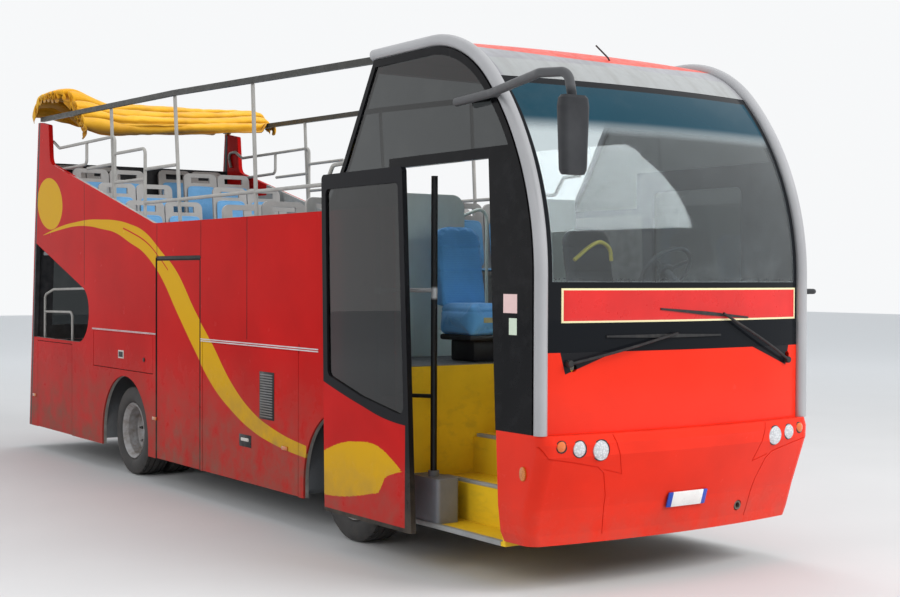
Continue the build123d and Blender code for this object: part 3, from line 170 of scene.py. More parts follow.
def pipe(name, points, radius, material, bend=0.0):
    """A round bar on the body through a few points, with its corners bent where a bend is given."""
    line = bpy.data.curves.new(name, "CURVE")
    line.dimensions = "3D"
    line.bevel_depth = radius
    line.bevel_resolution = 4
    line.use_fill_caps = True
    places = bend_points(points, bend)
    spline = line.splines.new("POLY")
    spline.points.add(len(places) - 1)
    for knot, place in zip(spline.points, places):
        knot.co = (*place, 1.0)
    holder = bpy.data.objects.new(name, line)
    bpy.context.scene.collection.objects.link(holder)
    bpy.context.view_layer.update()
    mesh = bpy.data.meshes.new_from_object(holder.evaluated_get(bpy.context.evaluated_depsgraph_get()))
    bpy.data.objects.remove(holder)
    mesh.name = name
    return place_piece(mesh, name, material, "bus_body", 50.0)


SURFACES = {}


def surface(node, start, way):
    """The first point of a solid that a straight line meets, or nothing where it misses."""
    if node not in SURFACES:
        mesh = NODES[node].data
        corners = [vert.co.copy() for vert in mesh.vertices]
        SURFACES[node] = BVHTree.FromPolygons(corners, [list(face.vertices) for face in mesh.polygons])
    return SURFACES[node].ray_cast(Vector(start), Vector(way).normalized())[0]


def found(point, node):
    if point is None:
        raise ValueError("nothing of " + node + " lies on that line")
    return point


def from_ahead(node, y, z):
    return found(surface(node, (6.0, y, z), (-1, 0, 0)), node)


def from_right(node, station, z):
    return found(surface(node, (x_of(station), -3.0, z), (0, 1, 0)), node)


def ahead_of(y, z):
    """The foremost point of the glass or the panel under it, as seen from ahead."""
    met = [surface(node, (6.0, y, z), (-1, 0, 0)) for node in ("windscreen", "front_mask")]
    return max(point.x for point in met if point is not None)


def frame_at(origin, right, ahead, up):
    """A matrix whose axes are the given directions, at a point."""
    turn = Matrix((right, ahead, up)).transposed().to_4x4()
    return Matrix.Translation(origin) @ turn


def subdivide_smooth(piece):
    smooth = piece.modifiers.new("smooth", "SUBSURF")
    smooth.levels = 1
    smooth.render_levels = 1
    return piece


# Materials

SOCKETS = {"base": "Base Color", "rough": "Roughness", "metal": "Metallic", "coat": "Coat Weight", "ior": "IOR",
           "coat_rough": "Coat Roughness", "level": "Specular IOR Level", "clear": "Transmission Weight",
           "sheen": "Sheen Weight"}
COAL = (0.012, 0.012, 0.014)


class Finish:
    """One material, built step by step on the object's own coordinates."""

    def __init__(self, name, colour, roughness, metallic=0.0):
        self.material = bpy.data.materials.new(name)
        self.material.use_nodes = True
        self.tree = self.material.node_tree
        self.shader = self.tree.nodes["Principled BSDF"]
        self.colour = tuple(colour[:3])
        self.put(base=self.colour, rough=roughness, metal=metallic)
        self.place = self.tree.nodes.new("ShaderNodeTexCoord").outputs["Object"]
        split = self.tree.nodes.new("ShaderNodeSeparateXYZ")
        self.tree.links.new(self.place, split.inputs[0])
        self.x, self.y, self.z = split.outputs

    def put(self, **values):
        """Set some of the shader's sockets to values, or link them."""
        for word, value in values.items():
            self.feed(self.shader.inputs[SOCKETS[word]], value)

    def feed(self, socket, value):
        if isinstance(value, bpy.types.NodeSocket):
            self.tree.links.new(value, socket)
        elif isinstance(value, (tuple, list)):
            socket.default_value = (*value[:3], 1.0)
        else:
            socket.default_value = value

    def step(self, kind, settings, inputs, output=0):
        """Add a node: its settings by name, what goes into its inputs, and which output is used."""
        node = self.tree.nodes.new(kind)
        for name, value in settings.items():
            setattr(node, name, value)
        for name, value in inputs.items():
            self.feed(node.inputs[name], value)
        return node.outputs[output]

    def sum(self, kind, first, second=0.0, third=0.0, clamp=False):
        settings = {"operation": kind, "use_clamp": clamp}
        return self.step("ShaderNodeMath", settings, {0: first, 1: second, 2: third})

    def plus(self, first, second):
        return self.sum("ADD", first, second)

    def minus(self, first, second):
        return self.sum("SUBTRACT", first, second)

    def both(self, first, second):
        return self.sum("MULTIPLY", first, second)

    def either(self, first, second):
        return self.sum("MAXIMUM", first, second)

    def size(self, value):
        return self.sum("ABSOLUTE", value)

    def square(self, value):
        return self.sum("POWER", value, 2.0)

    def stretch(self, *scale):
        node = self.tree.nodes.new("ShaderNodeMapping")
        self.tree.links.new(self.place, node.inputs["Vector"])
        node.inputs["Scale"].default_value = scale
        return node.outputs[0]

    def noise(self, scale, detail=3.0, rough=0.5, vector=None):
        return self.step("ShaderNodeTexNoise", {}, {"Scale": scale, "Detail": detail, "Roughness": rough,
                                                    "Vector": vector or self.place})

    def cells(self, scale):
        return self.step("ShaderNodeTexVoronoi", {}, {"Scale": scale, "Vector": self.place}, "Distance")

    def waves(self, scale, direction):
        settings = {"bands_direction": direction}
        return self.step("ShaderNodeTexWave", settings, {"Scale": scale, "Vector": self.place}, "Fac")

    def attribute(self, name):
        return self.step("ShaderNodeAttribute", {"attribute_name": name}, {}, "Fac")

    def ramp(self, value, low, high, start=0.0, end=1.0, smooth=False):
        kind = "SMOOTHSTEP" if smooth else "LINEAR"
        return self.step("ShaderNodeMapRange", {"interpolation_type": kind},
                         {"Value": value, "From Min": low, "From Max": high, "To Min": start, "To Max": end})

    def patches(self, cloud, low, high, start=0.0, end=1.0):
        """Soft patches: a noise, given by its own values, cut down to a range."""
        return self.ramp(self.noise(*cloud), low, high, start, end)

    def line(self, value, points, reach=10.0):
        """A smooth line through a few points, both ways divided by a reach."""
        node = self.tree.nodes.new("ShaderNodeFloatCurve")
        curve = node.mapping.curves[0]
        rows = sorted(points)
        curve.points[0].location = (rows[0][0] / reach, rows[0][1] / reach)
        curve.points[1].location = (rows[-1][0] / reach, rows[-1][1] / reach)
        for across, up in rows[1:-1]:
            curve.points.new(across / reach, up / reach)
        node.mapping.update()
        self.feed(node.inputs["Value"], self.sum("DIVIDE", value, reach))
        return self.both(node.outputs[0], reach)

    def above(self, value, edge, soft=0.002):
        """One where a value is over an edge, nought below it."""
        return self.ramp(self.minus(value, edge), -soft, soft)

    def below(self, value, edge, soft=0.002):
        return self.minus(1.0, self.above(value, edge, soft))

    def between(self, value, low, high, soft=0.002):
        return self.both(self.above(value, low, soft), self.below(value, high, soft))

    def mix(self, share, first, second):
        return self.step("ShaderNodeMix", {"data_type": "RGBA"}, {0: share, 6: first, 7: second}, 2)

    def blend(self, share, first, second):
        return self.step("ShaderNodeMix", {"data_type": "FLOAT"}, {0: share, 2: first, 3: second})

    def relief(self, height, depth, strength):
        node = self.tree.nodes.new("ShaderNodeBump")
        node.inputs["Distance"].default_value = depth
        node.inputs["Strength"].default_value = strength
        self.tree.links.new(height, node.inputs["Height"])
        if self.shader.inputs["Normal"].is_linked:
            before = self.shader.inputs["Normal"].links[0].from_socket
            self.tree.links.new(before, node.inputs["Normal"])
        self.tree.links.new(node.outputs[0], self.shader.inputs["Normal"])

    def dressed(self, height, depth, strength, **values):
        """Finish off with a relief and some of the shader's values, and give the material."""
        self.relief(height, depth, strength)
        self.put(**values)
        return self.material

    def varied(self, amount, scale):
        """The colour with slow light and dark patches."""
        dark = tuple(part * (1 - amount) for part in self.colour)
        light = tuple(min(1.0, part * (1 + amount)) for part in self.colour)
        return self.mix(self.patches((scale, 4.0), 0.3, 0.7), dark, light)

    def station(self):
        return self.minus(PLATE_X, self.x)

    def dust(self, base, rough, top, dirt=(0.16, 0.13, 0.10), most=0.7):
        """Road dust that thins out with height."""
        low = self.ramp(self.z, 0.25, top, 1.0, 0.0, True)
        spots = self.patches((5.0, 8.0, 0.62), 0.35, 0.75)
        share = self.sum("MULTIPLY", self.both(low, self.plus(spots, 0.25)), most, clamp=True)
        self.put(base=self.mix(share, base, dirt), rough=self.blend(share, rough, 0.85))
        return share


# The broad yellow band on the side, as station and height of its two edges
BAND_TOP = ((3.1, 0.70), (3.7, 0.79), (4.1, 0.91), (4.5, 1.13), (4.9, 1.46), (5.3, 1.77), (5.7, 2.12),
            (6.1, 2.34), (6.5, 2.53), (6.9, 2.62), (7.3, 2.67), (7.7, 2.69), (8.1, 2.70), (8.5, 2.685),
            (8.9, 2.66), (9.6, 2.565))
BAND_FOOT = ((3.1, 0.60), (3.7, 0.66), (4.1, 0.74), (4.5, 0.88), (4.9, 1.08), (5.3, 1.39), (5.7, 1.73),
             (6.1, 2.08), (6.5, 2.31), (6.9, 2.43), (7.3, 2.54), (7.7, 2.59), (8.1, 2.63), (8.5, 2.64),
             (8.9, 2.62), (9.6, 2.56))
BAND_ENDS = (3.1, 9.6)
# The red line inside the band, half its width, and its two ends
BAND_SPLIT = ((5.9, 2.13), (6.1, 2.25), (6.3, 2.36), (6.5, 2.44), (6.8, 2.52), (7.1, 2.585))
SPLIT_HALF = 0.008
SPLIT_ENDS = (5.92, 7.08)
# The bare disc: station and height of its middle, half its length and height, and how far it leans
DISC_MIDDLE = (9.375, 2.927)
DISC_HALF = (0.44, 0.30)
DISC_LEAN = math.radians(10)
# Panel joints of the side: station, foot and top
SIDE_SEAMS = ((8.225, 1.98, 3.13), (6.183, 2.25, 2.6), (5.147, 2.25, 2.6), (4.185, 1.53, 2.62),
              (3.225, 1.45, 1.53))
SEAM_HALF = 0.005
# The middle door's opening: stations of its two edges, and height of its top, with the rubber round it
DOOR_EDGE = (5.168, 6.200)
DOOR_TOP = 2.250
DOOR_SEAL = 0.016
# Where the outside paint starts, the recess round the middle door that is painted near black as shade, and the
# red fins at the rear
PAINT_Y = 1.232
REVEAL_Y = 1.16
REVEAL_WIDE = 0.08
FIN_FOOT = 3.08
FIN_STATIONS = (8.6, 9.70)


def door_box(side, station, grown):
    """One inside the middle door's outline, grown by a margin."""
    return side.both(side.between(station, DOOR_EDGE[0] - grown, DOOR_EDGE[1] + grown),
                     side.below(side.z, DOOR_TOP + grown))


def side_mark(side, station):
    """One on the yellow band and on the disc."""
    band = side.both(side.above(side.z, side.line(station, BAND_FOOT)),
                     side.below(side.z, side.line(station, BAND_TOP)))
    band = side.both(band, side.between(station, *BAND_ENDS))
    split = side.size(side.minus(side.z, side.line(station, BAND_SPLIT)))
    split = side.both(side.below(split, SPLIT_HALF), side.between(station, *SPLIT_ENDS))
    band = side.both(band, side.minus(1.0, split))
    along = side.minus(station, DISC_MIDDLE[0])
    up = side.minus(side.z, DISC_MIDDLE[1])
    long_way = side.plus(side.both(up, math.cos(DISC_LEAN)), side.both(along, -math.sin(DISC_LEAN)))
    short_way = side.plus(side.both(along, math.cos(DISC_LEAN)), side.both(up, math.sin(DISC_LEAN)))
    spread = side.plus(side.square(side.sum("DIVIDE", long_way, DISC_HALF[1])),
                       side.square(side.sum("DIVIDE", short_way, DISC_HALF[0])))
    return side.either(band, side.below(spread, 1.0, 0.012))


def side_joints(side, station):
    """One on the panel joints and on the rubber round the middle door."""
    seal = side.both(door_box(side, station, DOOR_SEAL), side.minus(1.0, door_box(side, station, -DOOR_SEAL)))
    joints = side.both(seal, side.below(side.y, 0.0))
    for place, foot, top in SIDE_SEAMS:
        seam = side.between(station, place - SEAM_HALF, place + SEAM_HALF, 0.001)
        joints = side.either(joints, side.both(seam, side.between(side.z, foot, top)))
    return joints


def shaded_side_paint(colours):
    """Red side paint, a darker copy of the front's red that paints the sides' shade, with the yellow band, the
    bare disc, panel joints, dust, a grey lining inside, and painted shade in the recess round the middle door.
    """
    side = Finish("shaded_side_paint", colours.shaded_side_red, 0.22)
    station = side.station()
    base = side.mix(side_mark(side, station), side.varied(0.10, 1.4), tuple(colours.band_yellow))
    joints = side_joints(side, station)
    base = side.mix(joints, base, (0.012, 0.004, 0.004))
    inward = side.size(side.y)
    outside = side.above(inward, PAINT_Y)
    lining = side.mix(side.patches((14.0, 6.0), 0.3, 0.7), (0.30, 0.30, 0.29), (0.40, 0.40, 0.38))
    fin = side.mix(side.above(station, FIN_STATIONS[1]), tuple(colours.shaded_side_red), (0.03, 0.03, 0.032))
    on_fin = side.both(side.above(side.z, FIN_FOOT), side.above(station, FIN_STATIONS[0]))
    lining = side.mix(on_fin, lining, fin)
    # Painted shade: the recess faces round the middle door are made near black.
    reveal = side.both(side.between(station, DOOR_EDGE[0] - REVEAL_WIDE, DOOR_EDGE[1] + REVEAL_WIDE),
                       side.above(inward, REVEAL_Y))
    lining = side.mix(reveal, lining, (0.02, 0.02, 0.022))
    base = side.mix(outside, lining, base)
    side.dust(base, side.blend(outside, 0.55, side.patches((7.0, 5.0), 0.3, 0.8, 0.16, 0.30)), 1.5)
    height = side.minus(side.noise(1.1, 2.0), side.both(joints, 3.0))
    return side.dressed(height, 0.004, 0.5, coat=0.04, coat_rough=0.06, level=0.02)


# Black corners in the front panel, where the wipers stand: slope of each edge, and its height in the middle
NOTCH_INNER = (0.362, 1.832)
NOTCH_OUTER = (3.85, 2.512)
NOTCH_FROM_X = 3.0


def sunlit_front_paint(colours):
    """The bumper and the front panel, in the lighter copy of the red that paints sunlight on the front."""
    front = Finish("sunlit_front_paint", colours.sunlit_front_red, 0.2)
    chips = front.both(front.ramp(front.cells(60.0), 0.05, 0.03), front.patches((9.0, 2.0), 0.62, 0.7))
    base = front.mix(chips, front.varied(0.08, 2.0), (0.25, 0.08, 0.06))
    across = front.size(front.y)
    inward = front.sum("MULTIPLY_ADD", across, -NOTCH_INNER[0], NOTCH_INNER[1])
    outward = front.sum("MULTIPLY_ADD", across, NOTCH_OUTER[0], -NOTCH_OUTER[1])
    notch = front.both(front.above(front.z, inward), front.above(front.z, outward))
    base = front.mix(front.both(notch, front.above(front.x, NOTCH_FROM_X)), base, COAL)
    front.dust(base, front.patches((11.0, 5.0), 0.3, 0.8, 0.14, 0.3), 0.75, most=0.3)
    height = front.minus(front.noise(1.6, 2.0), chips)
    return front.dressed(height, 0.003, 0.4, coat=0.15, coat_rough=0.05, level=0.08)


# The middle of the rear wall's thickness: height and station, low and high
REAR_MIDDLE = ((0.263, 10.086), (2.50, 9.901), (3.91, 9.751))


def rear_paint(colours):
    """The rear wall: red outside, in the darker copy of the paint that stands for the sides' shade, and dark
    inside.
    """
    rear = Finish("rear_paint", colours.shaded_side_red, 0.22)
    lining = rear.mix(rear.patches((12.0, 6.0), 0.3, 0.7), (0.030, 0.031, 0.034), (0.055, 0.055, 0.058))
    outside = rear.above(rear.station(), rear.line(rear.z, REAR_MIDDLE, 10.5))
    base = rear.mix(outside, lining, rear.varied(0.10, 1.4))
    share = rear.dust(base, rear.patches((7.0, 5.0), 0.3, 0.8, 0.16, 0.30), 1.9)
    return rear.dressed(rear.plus(rear.noise(1.1, 2.0), share), 0.003, 0.4, coat=0.04, level=0.05)


# The bowed line over the cab where grey turns to red: its station in the middle, and how much it bows
HEADER_LINE = (0.74, 0.17)
HEADLINING = (1.12, 3.60)


def roof_paint(colours):
    """Grey header over the screen, with faded red behind it."""
    roof = Finish("roof_paint", colours.header_grey, 0.38)
    bowed = roof.both(roof.square(roof.y), HEADER_LINE[1])
    back = roof.above(roof.station(), roof.plus(HEADER_LINE[0], bowed), 0.004)
    red = roof.mix(roof.patches((4.0, 6.0), 0.3, 0.7), (0.62, 0.035, 0.02), (0.74, 0.075, 0.045))
    inside = roof.both(roof.between(roof.y, -HEADLINING[0], HEADLINING[0]), roof.below(roof.z, HEADLINING[1]))
    base = roof.mix(inside, roof.mix(back, roof.varied(0.12, 3.0), red), (0.32, 0.33, 0.33))
    streak = roof.patches((3.0, 8.0, 0.6, roof.stretch(0.4, 6, 1)), 0.45, 0.75, 0.0, 0.35)
    return roof.dressed(roof.noise(40.0, 4.0), 0.0006, 0.5, base=roof.mix(streak, base, (0.16, 0.15, 0.13)),
                        rough=roof.patches((18.0, 5.0), 0.3, 0.7, 0.3, 0.5))


def hoop_paint(colours):
    hoop = Finish("hoop_silver", colours.hoop_silver, 0.34, 0.35)
    return hoop.dressed(hoop.noise(35.0, 3.0), 0.0002, 0.35, base=hoop.varied(0.07, 2.0),
                        rough=hoop.patches((6.0, 5.0), 0.3, 0.7, 0.28, 0.42))


def tube_white(name, colour, worn=(0.30, 0.26, 0.20)):
    tube = Finish(name, colour, 0.35, 0.1)
    wear = tube.both(tube.patches((24.0, 8.0, 0.7), 0.55, 0.72), tube.patches((5.0, 3.0), 0.4, 0.7))
    return tube.dressed(tube.noise(90.0, 3.0), 0.0003, 0.5, base=tube.mix(wear, tube.varied(0.12, 6.0), worn),
                        rough=tube.patches((30.0, 4.0), 0.3, 0.7, 0.25, 0.5), level=0.15)


# Where the cab's pale lining ends and its black outside starts
LINING_Y = 1.222


def black_gloss(name, colour=COAL, rough=0.12, lining=None, shine=0.25):
    """Glossy black panel, with a paler lining inside where one is given."""
    gloss = Finish(name, colour, rough)
    base = gloss.varied(0.3, 3.0)
    if lining:
        base = gloss.mix(gloss.above(gloss.size(gloss.y), LINING_Y), lining, base)
    haze = gloss.patches((9.0, 8.0, 0.65), 0.5, 0.8, 0.0, 0.35)
    return gloss.dressed(gloss.noise(2.0, 2.0), 0.002, 0.3, level=shine,
                         base=gloss.mix(haze, base, tuple(0.02 + 2 * part for part in colour)),
                         rough=gloss.patches((13.0, 6.0), 0.3, 0.75, rough * 0.7, rough * 2.2))


# Heights between which the upper arm of the front door lies, and the lowest height of the mirror's arm
UPPER_ARM = (1.93, 2.01)
MIRROR_ARM_Z = 3.24


def arm_metal():
    """The front door's post and arms: black, with the upper arm in bare metal."""
    metal = Finish("arm_metal", (0.015, 0.015, 0.016), 0.35, 0.2)
    bright = metal.mix(metal.patches((20.0, 6.0), 0.3, 0.7), (0.42, 0.42, 0.43), (0.55, 0.55, 0.56))
    bare = metal.between(metal.z, *UPPER_ARM, 0.01)
    base = metal.mix(bare, metal.varied(0.25, 6.0), bright)
    return metal.dressed(metal.noise(90.0, 3.0), 0.0002, 0.4, base=base,
                         rough=metal.patches((30.0, 5.0), 0.3, 0.7, 0.28, 0.5), level=0.25)


def mirror_plastic():
    """Grained housings, with paler painted arms."""
    cover = Finish("mirror_plastic", (0.024, 0.025, 0.028), 0.4)
    arm = cover.above(cover.z, MIRROR_ARM_Z, 0.02)
    base = cover.mix(arm, cover.varied(0.15, 5.0), (0.085, 0.086, 0.09))
    sun = cover.patches((6.0, 6.0), 0.4, 0.75, 0.0, 0.3)
    return cover.dressed(cover.cells(300.0), 0.0002, 0.6, base=cover.mix(sun, base, (0.07, 0.07, 0.072)),
                         rough=cover.patches((14.0, 5.0), 0.3, 0.7, 0.32, 0.5), level=0.3)


def moulded(name, colour, rough=0.55, grain=160.0, depth=0.0004, dirt=0.25):
    """Moulded plastic with a fine grain and handled, greyer patches."""
    plastic = Finish(name, colour, rough)
    grime = plastic.patches((6.0, 8.0, 0.65), 0.48, 0.8, 0.0, dirt)
    shade = tuple(part * 0.45 for part in colour[:3])
    base = plastic.mix(grime, plastic.varied(0.08, 5.0), shade)
    return plastic.dressed(plastic.cells(grain), depth, 0.6, base=base,
                           rough=plastic.patches((12.0, 5.0), 0.3, 0.7, rough - 0.1, rough + 0.12), level=0.25)


def laminate(name, colour):
    panel = Finish(name, colour, 0.35)
    smear = panel.patches((5.0, 8.0, 0.65, panel.stretch(1, 1, 0.5)), 0.5, 0.8, 0.0, 0.3)
    shade = tuple(part * 0.6 for part in colour[:3])
    base = panel.mix(smear, panel.varied(0.05, 2.0), shade)
    return panel.dressed(panel.noise(120.0, 3.0), 0.0002, 0.5, base=base,
                         rough=panel.patches((9.0, 5.0), 0.3, 0.7, 0.28, 0.5))


THREAD = 900.0 / 6.28


def woven(name, colour, second):
    """Woven cloth: crossing threads with two shades."""
    cloth = Finish(name, colour, 0.85)
    across = cloth.plus(cloth.waves(THREAD, "X"), cloth.waves(THREAD, "Y"))
    weave = cloth.both(across, cloth.waves(THREAD, "Z"))
    shade = cloth.mix(cloth.ramp(weave, 0.2, 1.4), colour, second)
    patch = cloth.patches((7.0, 6.0), 0.35, 0.75, 0.0, 0.4)
    dark = tuple(part * 0.7 for part in colour[:3])
    return cloth.dressed(weave, 0.0005, 0.7, base=cloth.mix(patch, shade, dark), sheen=0.3)


def canvas_yellow(colours):
    """Coated canopy cloth: fine weave, creases, faded and dirty patches, and painted shade, deep brown in its
    folds, on its curled front lip and low along its front.
    """
    cloth = Finish("canopy_cloth", colours.canopy_yellow, 0.5)
    base = cloth.mix(cloth.patches((1.8, 5.0), 0.35, 0.7), tuple(colours.canopy_yellow), (0.80, 0.45, 0.03))
    dirt = cloth.both(cloth.patches((3.2, 9.0, 0.68), 0.5, 0.75), cloth.patches((1.1, 2.0), 0.35, 0.6))
    base = cloth.mix(cloth.both(dirt, 0.45), base, (0.34, 0.16, 0.02))
    # Painted shade: the folds' valleys and the curled front lip darken in uneven patches, and so does the low
    # front of the bundle.
    fold_shade_patches = cloth.patches((2.6, 6.0, 0.6), 0.3, 0.65, 0.35, 1.0)
    crease = cloth.both(cloth.ramp(cloth.attribute("fold"), 0.35, 1.0, 0.0, 0.85), fold_shade_patches)
    under = cloth.both(cloth.ramp(cloth.z, 3.86, 3.70, 0.0, 0.8), cloth.above(cloth.x, x_of(9.2), 0.2))
    cloth.relief(cloth.noise(7.0, 7.0, 0.6, cloth.stretch(1.0, 0.35, 1.0)), 0.018, 0.6)
    threads = cloth.both(cloth.waves(160.0, "X"), cloth.waves(160.0, "Y"))
    # Both painted shades darken the cloth to deep brown.
    base = cloth.mix(cloth.either(crease, under), base, (0.20, 0.075, 0.008))
    return cloth.dressed(threads, 0.0004, 0.5, base=base,
                         rough=cloth.patches((9.0, 4.0), 0.3, 0.7, 0.38, 0.6), level=0.25, sheen=0.15)


def rubber(colours):
    """Tyre rubber: dust in the tread and on the side walls."""
    tyre = Finish("tyre_rubber", colours.tyre_black, 0.72)
    grey = tyre.patches((8.0, 8.0, 0.65), 0.35, 0.75, 0.05, 0.55)
    share = tyre.sum("MULTIPLY", grey, tyre.blend(tyre.attribute("tread"), 0.55, 1.0), clamp=True)
    return tyre.dressed(tyre.noise(120.0, 4.0), 0.0006, 0.7, rough=tyre.blend(share, 0.6, 0.92),
                        base=tyre.mix(share, tyre.varied(0.25, 12.0), (0.13, 0.115, 0.10)))


def plain_rubber():
    seal = Finish("seal_rubber", (0.014, 0.014, 0.015), 0.6)
    pale = seal.patches((20.0, 6.0), 0.45, 0.8, 0.0, 0.5)
    return seal.dressed(seal.noise(150.0, 3.0), 0.0004, 0.6,
                        base=seal.mix(pale, seal.varied(0.2, 9.0), (0.06, 0.055, 0.05)))


def wheel_paint(colours):
    """Grey wheel paint under brake dust and road dirt, with rusty spots."""
    wheel = Finish("wheel_paint", colours.wheel_grey, 0.5, 0.15)
    dirt = wheel.patches((9.0, 9.0, 0.68), 0.35, 0.7, 0.1, 0.85)
    rust = wheel.both(wheel.patches((26.0, 8.0, 0.7), 0.58, 0.7), wheel.patches((4.0, 2.0), 0.45, 0.6))
    base = wheel.mix(dirt, wheel.varied(0.1, 6.0), (0.15, 0.115, 0.085))
    return wheel.dressed(wheel.noise(70.0, 5.0), 0.0006, 0.6, base=wheel.mix(rust, base, (0.20, 0.075, 0.03)),
                         rough=wheel.blend(dirt, 0.42, 0.85))


def chassis_paint(name, colour):
    """Dark paint under road dirt, thicker low down."""
    under = Finish(name, colour, 0.55)
    share = under.dust(under.varied(0.2, 5.0), 0.5, 2.2, (0.14, 0.12, 0.10), 1.1)
    return under.dressed(under.plus(under.noise(45.0, 6.0), share), 0.0012, 0.7)


def floor_sheet(name, colour, speck=(0.5, 0.5, 0.48)):
    """Non-slip floor covering with pale specks and trodden dirt."""
    sheet = Finish(name, colour, 0.75)
    grit = sheet.cells(220.0)
    specks = sheet.both(sheet.ramp(grit, 0.22, 0.12), sheet.patches((180.0, 1.0), 0.55, 0.62))
    trod = sheet.patches((2.2, 7.0, 0.6), 0.42, 0.75, 0.0, 0.5)
    base = sheet.mix(specks, sheet.varied(0.15, 3.0), speck)
    return sheet.dressed(grit, 0.0006, 0.7, base=sheet.mix(trod, base, (0.10, 0.09, 0.075)))


# The yellow covering of the entry ends at this station and under this height
ENTRY_COVER = (1.69, 1.425)


def entry_cover(colours):
    """Yellow covering on the entry steps and walls, with grey floor beyond, scuffed on its faces."""
    cover = Finish("entry_cover", colours.step_yellow, 0.5)
    near = cover.both(cover.above(cover.x, x_of(ENTRY_COVER[0])), cover.below(cover.z, ENTRY_COVER[1]))
    scuff = cover.patches((5.0, 9.0, 0.62, cover.stretch(0.6, 1, 1.6)), 0.55, 0.85, 0.0, 0.5)
    yellow = cover.mix(scuff, cover.varied(0.10, 3.0), (0.30, 0.19, 0.03))
    grey = cover.mix(cover.ramp(cover.cells(200.0), 0.2, 0.1), (0.13, 0.14, 0.15), (0.35, 0.35, 0.34))
    return cover.dressed(cover.cells(190.0), 0.0005, 0.6, base=cover.mix(near, grey, yellow), level=0.25,
                         rough=cover.patches((20.0, 5.0), 0.3, 0.7, 0.4, 0.62))


def safety_glass(name, tint):
    """Tinted glass with a light film of dust."""
    glass = Finish(name, tint, 0.005)
    film = glass.patches((3.0, 9.0, 0.68), 0.5, 0.85, 0.0, 0.05)
    glass.put(base=glass.mix(film, tint, (0.45, 0.45, 0.43)), clear=glass.ramp(film, 0.0, 0.05, 1.0, 0.96),
              rough=glass.patches((3.0, 4.0, 0.6), 0.4, 0.8, 0.0, 0.005), level=0.1, ior=1.45)
    return glass.material


# Edges of the black print on the windscreen: its foot, its sides and its head, and where the dots under it end
PRINT_FOOT = 2.06
PRINT_SIDE = 1.125
PRINT_HEAD = 3.405
PRINT_DOTS = (2.05, 2.085)
# The coloured shade along the top: where it starts, where it is full, and how much light it stops
SHADE_HEIGHTS = (3.04, 3.17)
SHADE_STOPS = 0.75


def screen_glass(colours):
    """The windscreen: black printed band below and round its edge, a blue shade along its top, and a pale film
    that is partly dust and partly a painted reflection of the sky.
    """
    screen = Finish("windscreen_glass", colours.glass_tint, 0.02)
    edge = screen.either(screen.below(screen.z, PRINT_FOOT), screen.above(screen.size(screen.y), PRINT_SIDE))
    edge = screen.either(edge, screen.above(screen.z, PRINT_HEAD))
    dots = screen.both(screen.ramp(screen.cells(90.0), 0.30, 0.22),
                       screen.between(screen.z, *PRINT_DOTS, 0.001))
    edge = screen.either(edge, dots)
    shade = screen.ramp(screen.z, *SHADE_HEIGHTS, 0.0, 1.0, True)
    base = screen.mix(shade, tuple(colours.glass_tint), (0.001, 0.050, 0.082))
    # A pale, less clear film, thickest low down: partly dust and partly a painted reflection of the sky.
    film = screen.both(screen.patches((2.6, 9.0, 0.68), 0.5, 0.85, 0.0, 0.12),
                       screen.ramp(screen.z, 2.0, 2.4, 1.0, 0.3))
    base = screen.mix(film, base, (0.6, 0.6, 0.57))
    solid = screen.either(screen.either(edge, film), screen.both(shade, SHADE_STOPS))
    screen.put(base=screen.mix(edge, base, (0.008, 0.009, 0.011)), clear=screen.ramp(solid, 0.0, 1.0, 1.0, 0.0),
               rough=screen.patches((6.0, 8.0, 0.7), 0.4, 0.8, 0.015, 0.06), ior=1.5,
               level=screen.blend(screen.either(edge, shade), 0.8, 0.12))
    return screen.material


def lamp_lens():
    """Lamp lenses by place: clear ones and a small amber one in front, red and amber ones at the tail."""
    lens = Finish("lamp_lens", (0.75, 0.76, 0.78), 0.12, 0.35)
    facets = lens.cells(75.0)
    cut = lens.ramp(facets, 0.1, 0.6)
    clear = lens.mix(cut, (0.82, 0.83, 0.85), (0.52, 0.53, 0.55))
    front = lens.mix(lens.above(lens.size(lens.y), 1.062), clear, (0.75, 0.16, 0.02))
    rear = lens.mix(lens.above(lens.z, 0.88), (0.45, 0.01, 0.01), (0.72, 0.20, 0.01))
    return lens.dressed(facets, 0.003, 0.6, base=lens.mix(lens.above(lens.x, 0.0), rear, front), coat=1.0,
                        rough=lens.ramp(facets, 0.1, 0.6, 0.06, 0.2), coat_rough=0.03)


def small_lens(name, colour, rough, bright, dark, cells, coat):
    """An amber lens with fine facets."""
    lens = Finish(name, colour, rough)
    facets = lens.cells(cells)
    return lens.dressed(facets, 0.001, 0.6, base=lens.mix(lens.ramp(facets, 0.1, 0.5), bright, dark), coat=coat)


# The open leaf: the line where its black frame ends, and the brushed yellow mark below, as stations and heights
LEAF_LINE = ((1.2, 1.03), (1.6, 1.06), (1.95, 1.135), (2.2, 1.195), (2.55, 1.29))
MARK_TOP = ((1.36, 0.70), (1.5, 0.775), (1.65, 0.84), (1.8, 0.865), (2.0, 0.855), (2.2, 0.83), (2.46, 0.75))
MARK_FOOT = ((1.36, 0.70), (1.5, 0.67), (1.62, 0.61), (1.66, 0.53), (1.8, 0.49), (2.0, 0.45), (2.2, 0.42),
             (2.46, 0.40))
# Width of the rubber on its leading, trailing and lower edges
LEAF_RUBBER = (0.085, 0.022, 0.03)


